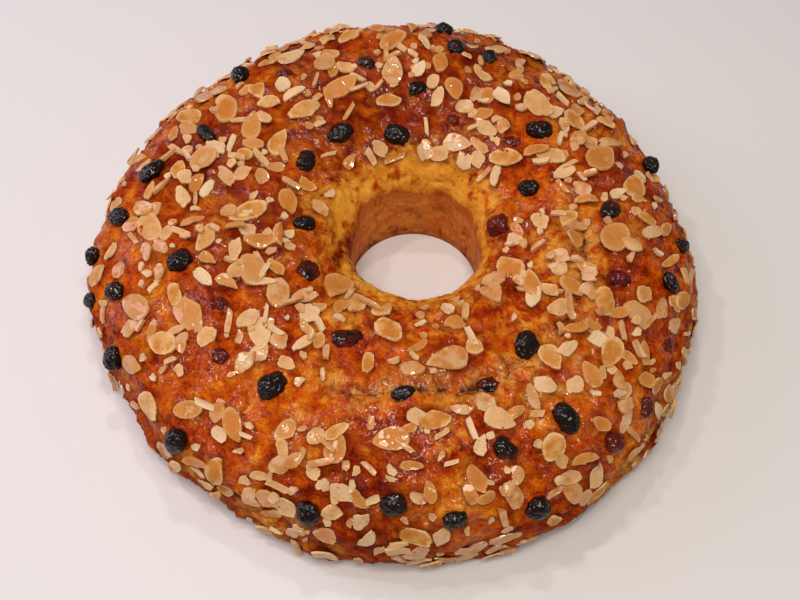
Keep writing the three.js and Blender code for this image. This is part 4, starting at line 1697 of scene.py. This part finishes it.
        def read(name: str, kind: str) -> bpy.types.NodeSocket:
            """Reads a named attribute."""
            return add_node(
                tree, "GeometryNodeInputNamedAttribute", {"data_type": kind}, {"Name": name}
            ).outputs["Attribute"]

        def vector(
            operation: str,
            first: bpy.types.NodeSocket,
            second: bpy.types.NodeSocket | tuple[float, ...] = (0, 0, 0),
        ) -> bpy.types.Node:
            """Adds a vector sum or product."""
            return add_node(tree, "ShaderNodeVectorMath", {"operation": operation}, {0: first, 1: second})

        def number(
            operation: str, first: bpy.types.NodeSocket | float, second: bpy.types.NodeSocket | float
        ) -> bpy.types.NodeSocket:
            """Adds a sum or product of numbers."""
            made_node = add_node(tree, "ShaderNodeMath", {"operation": operation}, {0: first, 1: second})
            return made_node.outputs[0]

        plates = add_node(
            tree,
            "GeometryNodeCollectionInfo",
            inputs={"Collection": shapes, "Separate Children": True, "Reset Children": True},
        )
        turn = add_node(tree, "FunctionNodeEulerToRotation", inputs={0: read("turn", "FLOAT_VECTOR")})
        placed = add_node(
            tree,
            "GeometryNodeInstanceOnPoints",
            inputs={
                "Points": given["Geometry"],
                "Instance": plates.outputs["Instances"],
                "Pick Instance": True,
                "Instance Index": read("shape", "FLOAT"),
                "Rotation": turn.outputs[0],
                "Scale": read("size", "FLOAT_VECTOR"),
            },
        )
        realised = add_node(
            tree, "GeometryNodeRealizeInstances", inputs={"Geometry": placed.outputs["Instances"]}
        )
        local = read("local", "FLOAT_VECTOR")
        squared = vector("MULTIPLY", local, local)
        share = vector("SCALE", squared.outputs[0])
        share.inputs["Scale"].default_value = 4.0
        fall = vector("DOT_PRODUCT", share.outputs[0], read("bend", "FLOAT_VECTOR")).outputs["Value"]
        place = add_node(tree, "GeometryNodeInputPosition").outputs[0]
        waves = add_node(
            tree,
            "ShaderNodeTexNoise",
            {"noise_dimensions": "4D"},
            {
                "Vector": place,
                "W": given["Seed"],
                "Scale": number("DIVIDE", 1.0, given["Wave Size"]),
                "Detail": 1.0,
            },
        ).outputs["Fac"]
        swing = number("MULTIPLY", number("SUBTRACT", waves, 0.5), number("MULTIPLY", given["Waviness"], 4.0))
        move = vector("SCALE", read("outward", "FLOAT_VECTOR"))
        tree.links.new(number("SUBTRACT", swing, fall), move.inputs["Scale"])
        bent = add_node(
            tree,
            "GeometryNodeSetPosition",
            inputs={"Geometry": realised.outputs["Geometry"], "Offset": move.outputs[0]},
        )
        dressed = add_node(
            tree,
            "GeometryNodeSetMaterial",
            inputs={"Geometry": bent.outputs["Geometry"], "Material": material},
        )
        add_node(tree, "NodeGroupOutput", inputs={"Geometry": dressed.outputs["Geometry"]})
        return tree

    def clear_crust(self, mesh: bpy.types.Mesh) -> None:
        """Raises the upper side of each plate where the crust would come through it.

        Args:
            mesh: The plates.
        """
        local = np.empty(len(mesh.vertices) * 3, np.float32)
        mesh.attributes["local"].data.foreach_get("vector", local)
        for corner, height in zip(mesh.vertices, local[2::3]):
            spot, outward = self.surface.find_nearest(corner.co)[:2]
            if height < 0.5 or spot is None:
                continue
            short = self.clearance_mm * MM - (corner.co - spot).dot(outward)
            if short > 0:
                corner.co += outward * short
        mesh.update()

    def build(self) -> bpy.types.Object:
        """Makes the piece as one plain mesh."""
        shapes = bpy.data.collections.new(self.name + "_shapes")
        for number, form in enumerate(FlakeForm):
            for variant in range(self.variants):
                label = f"plate_{number * self.variants + variant:02d}"
                shapes.objects.link(bpy.data.objects.new(label, FlakeShape(form, variant).mesh(label)))
        material = self.finish.material()
        rough = new_object(self.name + "_points", self.cloud())
        scatter = rough.modifiers.new("scatter", "NODES")
        scatter.node_group = self.tree(shapes, material)
        sizes = {"Waviness": self.waviness_mm * MM, "Wave Size": self.wave_mm * MM, "Seed": self.seed}
        for item in scatter.node_group.interface.items_tree:
            if item.name in sizes and item.in_out == "INPUT":
                scatter[item.identifier] = sizes[item.name]
        piece = baked(rough, self.name)
        self.clear_crust(piece.data)
        for plate in list(shapes.objects):
            bpy.data.objects.remove(plate)
        bpy.data.collections.remove(shapes)
        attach(piece, "root")
        return piece


# --------------------------------------------------------------------------------------------------
# Studio


@dataclass(frozen=True)
class Lamp:
    """A soft rectangular lamp that looks at the cake."""

    name: str
    place_mm: tuple[float, float, float]
    size_mm: tuple[float, float]
    watts: float
    colour: str = "#ffffff"

    def build(self) -> bpy.types.Object:
        """Puts the lamp in the scene."""
        light = bpy.data.lights.new(self.name, "AREA")
        light.shape = "RECTANGLE"
        light.size = self.size_mm[0] * MM
        light.size_y = self.size_mm[1] * MM
        light.energy = self.watts
        light.color = linear(self.colour)[:3]
        lamp = bpy.data.objects.new(self.name, light)
        lamp.location = Vector(self.place_mm) * MM
        lamp.rotation_euler = (-lamp.location).to_track_quat("-Z", "Y").to_euler()
        bpy.context.scene.collection.objects.link(lamp)
        return lamp


@dataclass(frozen=True)
class Studio:
    """A pale floor, soft light from the upper left, and the camera at the angle of the photograph."""

    table: str = "#dfdfe2"
    sky: str = "#f6eee4"
    sky_strength: float = 0.22
    floor_mm: float = 4000.0
    focal_px: float = 1399.44
    frame_px: int = 800
    sensor_mm: float = 36.0
    distance_mm: float = 685.72
    elevation: float = 59.3
    roll: float = 2.34
    target_mm: tuple[float, float, float] = (4.77, -21.41, 30.0)
    lamps: tuple[Lamp, ...] = (
        Lamp("ceiling", (-60, -430, 1150), (520, 520), 7.7, "#fff5e8"),
        Lamp("spot_back", (-60, 330, 1150), (60, 60), 1.5, "#fff5e8"),
        Lamp("spot_front", (160, -240, 1200), (110, 30), 1.4, "#fff5e8"),
        Lamp("spot_left", (-420, 40, 1050), (60, 60), 1.4, "#fff5e8"),
        Lamp("window", (-1000, 280, 560), (480, 900), 5.0, "#e8d8fa"),
    )

    def light(self) -> None:
        """Sets the sky and the lamps, and the plain view of colours."""
        scene = bpy.context.scene
        scene.view_settings.view_transform = "Standard"
        world = bpy.data.worlds.new("studio_sky")
        world.use_nodes = True
        background = world.node_tree.nodes["Background"]
        background.inputs["Color"].default_value = linear(self.sky)
        background.inputs["Strength"].default_value = self.sky_strength
        scene.world = world
        for lamp in self.lamps:
            lamp.build()

    def floor(self) -> bpy.types.Object:
        """Lays the floor that the cake stands on."""
        half = self.floor_mm / 2
        corners = np.array([(-half, -half, 0), (half, -half, 0), (half, half, 0), (-half, half, 0)])
        mesh = mesh_from("table_top", corners, [(0, 1, 2, 3)])
        made = bpy.data.materials.new("matt_white_table")
        made.use_nodes = True
        shader = made.node_tree.nodes["Principled BSDF"]
        shader.inputs["Base Color"].default_value = linear(self.table)
        shader.inputs["Roughness"].default_value = 0.6
        mesh.materials.append(made)
        floor = new_object("table_top", mesh)
        return floor

    def camera(self) -> bpy.types.Object:
        """Sets the camera."""
        lens = bpy.data.cameras.new("camera")
        lens.sensor_width = self.sensor_mm
        lens.lens = self.focal_px / self.frame_px * self.sensor_mm
        lens.clip_start = 0.01
        tilt, roll = math.radians(self.elevation), math.radians(self.roll)
        forward = Vector((0, math.cos(tilt), -math.sin(tilt)))
        right = Vector((1, 0, 0))
        up = right.cross(forward)
        rolled_right = math.cos(roll) * right + math.sin(roll) * up
        rolled_up = -math.sin(roll) * right + math.cos(roll) * up
        camera = bpy.data.objects.new("camera", lens)
        axes = Matrix((rolled_right, rolled_up, -forward)).transposed()
        place = Vector(self.target_mm) - forward * self.distance_mm
        camera.matrix_world = Matrix.Translation(place * MM) @ axes.to_4x4()
        bpy.context.scene.collection.objects.link(camera)
        bpy.context.scene.camera = camera
        return camera


# --------------------------------------------------------------------------------------------------
# The whole cake


def syrup_and_shade_at_flakes(crust: bpy.types.Mesh, flakes: Iterable[Flake], form: RingForm) -> None:
    """Stores a darkening along the flakes' edges: syrup that collected and browned there, and painted shade
    where each flake meets the crust.

    Args:
        crust: The crust's mesh.
        flakes: What lies on it.
        form: The ring, which tells how each flake is turned.
    """
    count = len(crust.vertices)
    points = np.empty(count * 3)
    crust.vertices.foreach_get("co", points)
    points = points.reshape(-1, 3) / MM
    tree = KDTree(count)
    for index, point in enumerate(points):
        tree.insert(point, index)
    tree.balance()
    flake_edge_syrup_and_shade = np.zeros(count)
    for flake in flakes:
        reach = flake.long * 0.5 + SYRUP_AND_SHADE_MARGIN_MM
        near = [index for _, index, _ in tree.find_range(flake.middle, reach)]
        axes = np.array(form.frame(flake.around, flake.across, flake.lie, flake.lean, flake.towards))
        local = (points[near] - flake.middle) @ axes[:, :2] / (flake.long / 2, flake.wide / 2)
        outside = np.maximum(np.linalg.norm(local, axis=1) - 1, 0)
        flake_edge_syrup_and_shade[near] = np.maximum(flake_edge_syrup_and_shade[near], np.exp(-((outside / SYRUP_AND_SHADE_FALL_OFF) ** 2)))
    store(crust, "syrup_and_shade", flake_edge_syrup_and_shade)


def surface_of(piece: bpy.types.Object) -> BVHTree:
    """Returns a tree for finding places on a piece's surface."""
    return BVHTree.FromPolygons(
        [corner.co.copy() for corner in piece.data.vertices],
        [tuple(face.vertices) for face in piece.data.polygons],
    )


def main() -> None:
    """Dresses the cake and sets the studio."""
    logging.basicConfig(level=logging.INFO, format="%(name)s: %(message)s")
    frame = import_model()
    form = RingForm()
    raisins = tuple(raisins_of(frame["nodes"]))
    relief = CrustRelief(form, raisins)
    crust = Crust(form, relief, CrustTones(form, relief), GlazedCrust()).build()
    LOG.info("crust: %d faces", len(crust.data.polygons))
    surface = surface_of(crust)
    rule = FlakeRule(form, raisins)
    laid = rule.lay()
    strewn = Strewn(rule).lay(laid)
    syrup_and_shade_at_flakes(crust.data, laid + strewn, form)
    flakes = FlakeScatter("almond_flakes", tuple(laid + strewn), form, surface, FlakedAlmond(), 5).build()
    LOG.info("almonds: %d laid, %d strewn, %d faces", len(laid), len(strewn), len(flakes.data.polygons))
    skin = DriedGrape().material()
    dry = tuple(raisin for raisin in raisins if raisin.soaked < SOAKED_FROM)
    soaked = tuple(raisin for raisin in raisins if raisin.soaked >= SOAKED_FROM)
    for heap in (RaisinHeap("raisins", dry, skin), RaisinHeap("soaked_raisins", soaked, skin)):
        piece = heap.build(frame["nodes"])
        LOG.info("%s: %d faces", heap.name, len(piece.data.polygons))
    studio = Studio()
    studio.light()
    studio.floor()
    studio.camera()


if __name__ == "__main__":
    main()
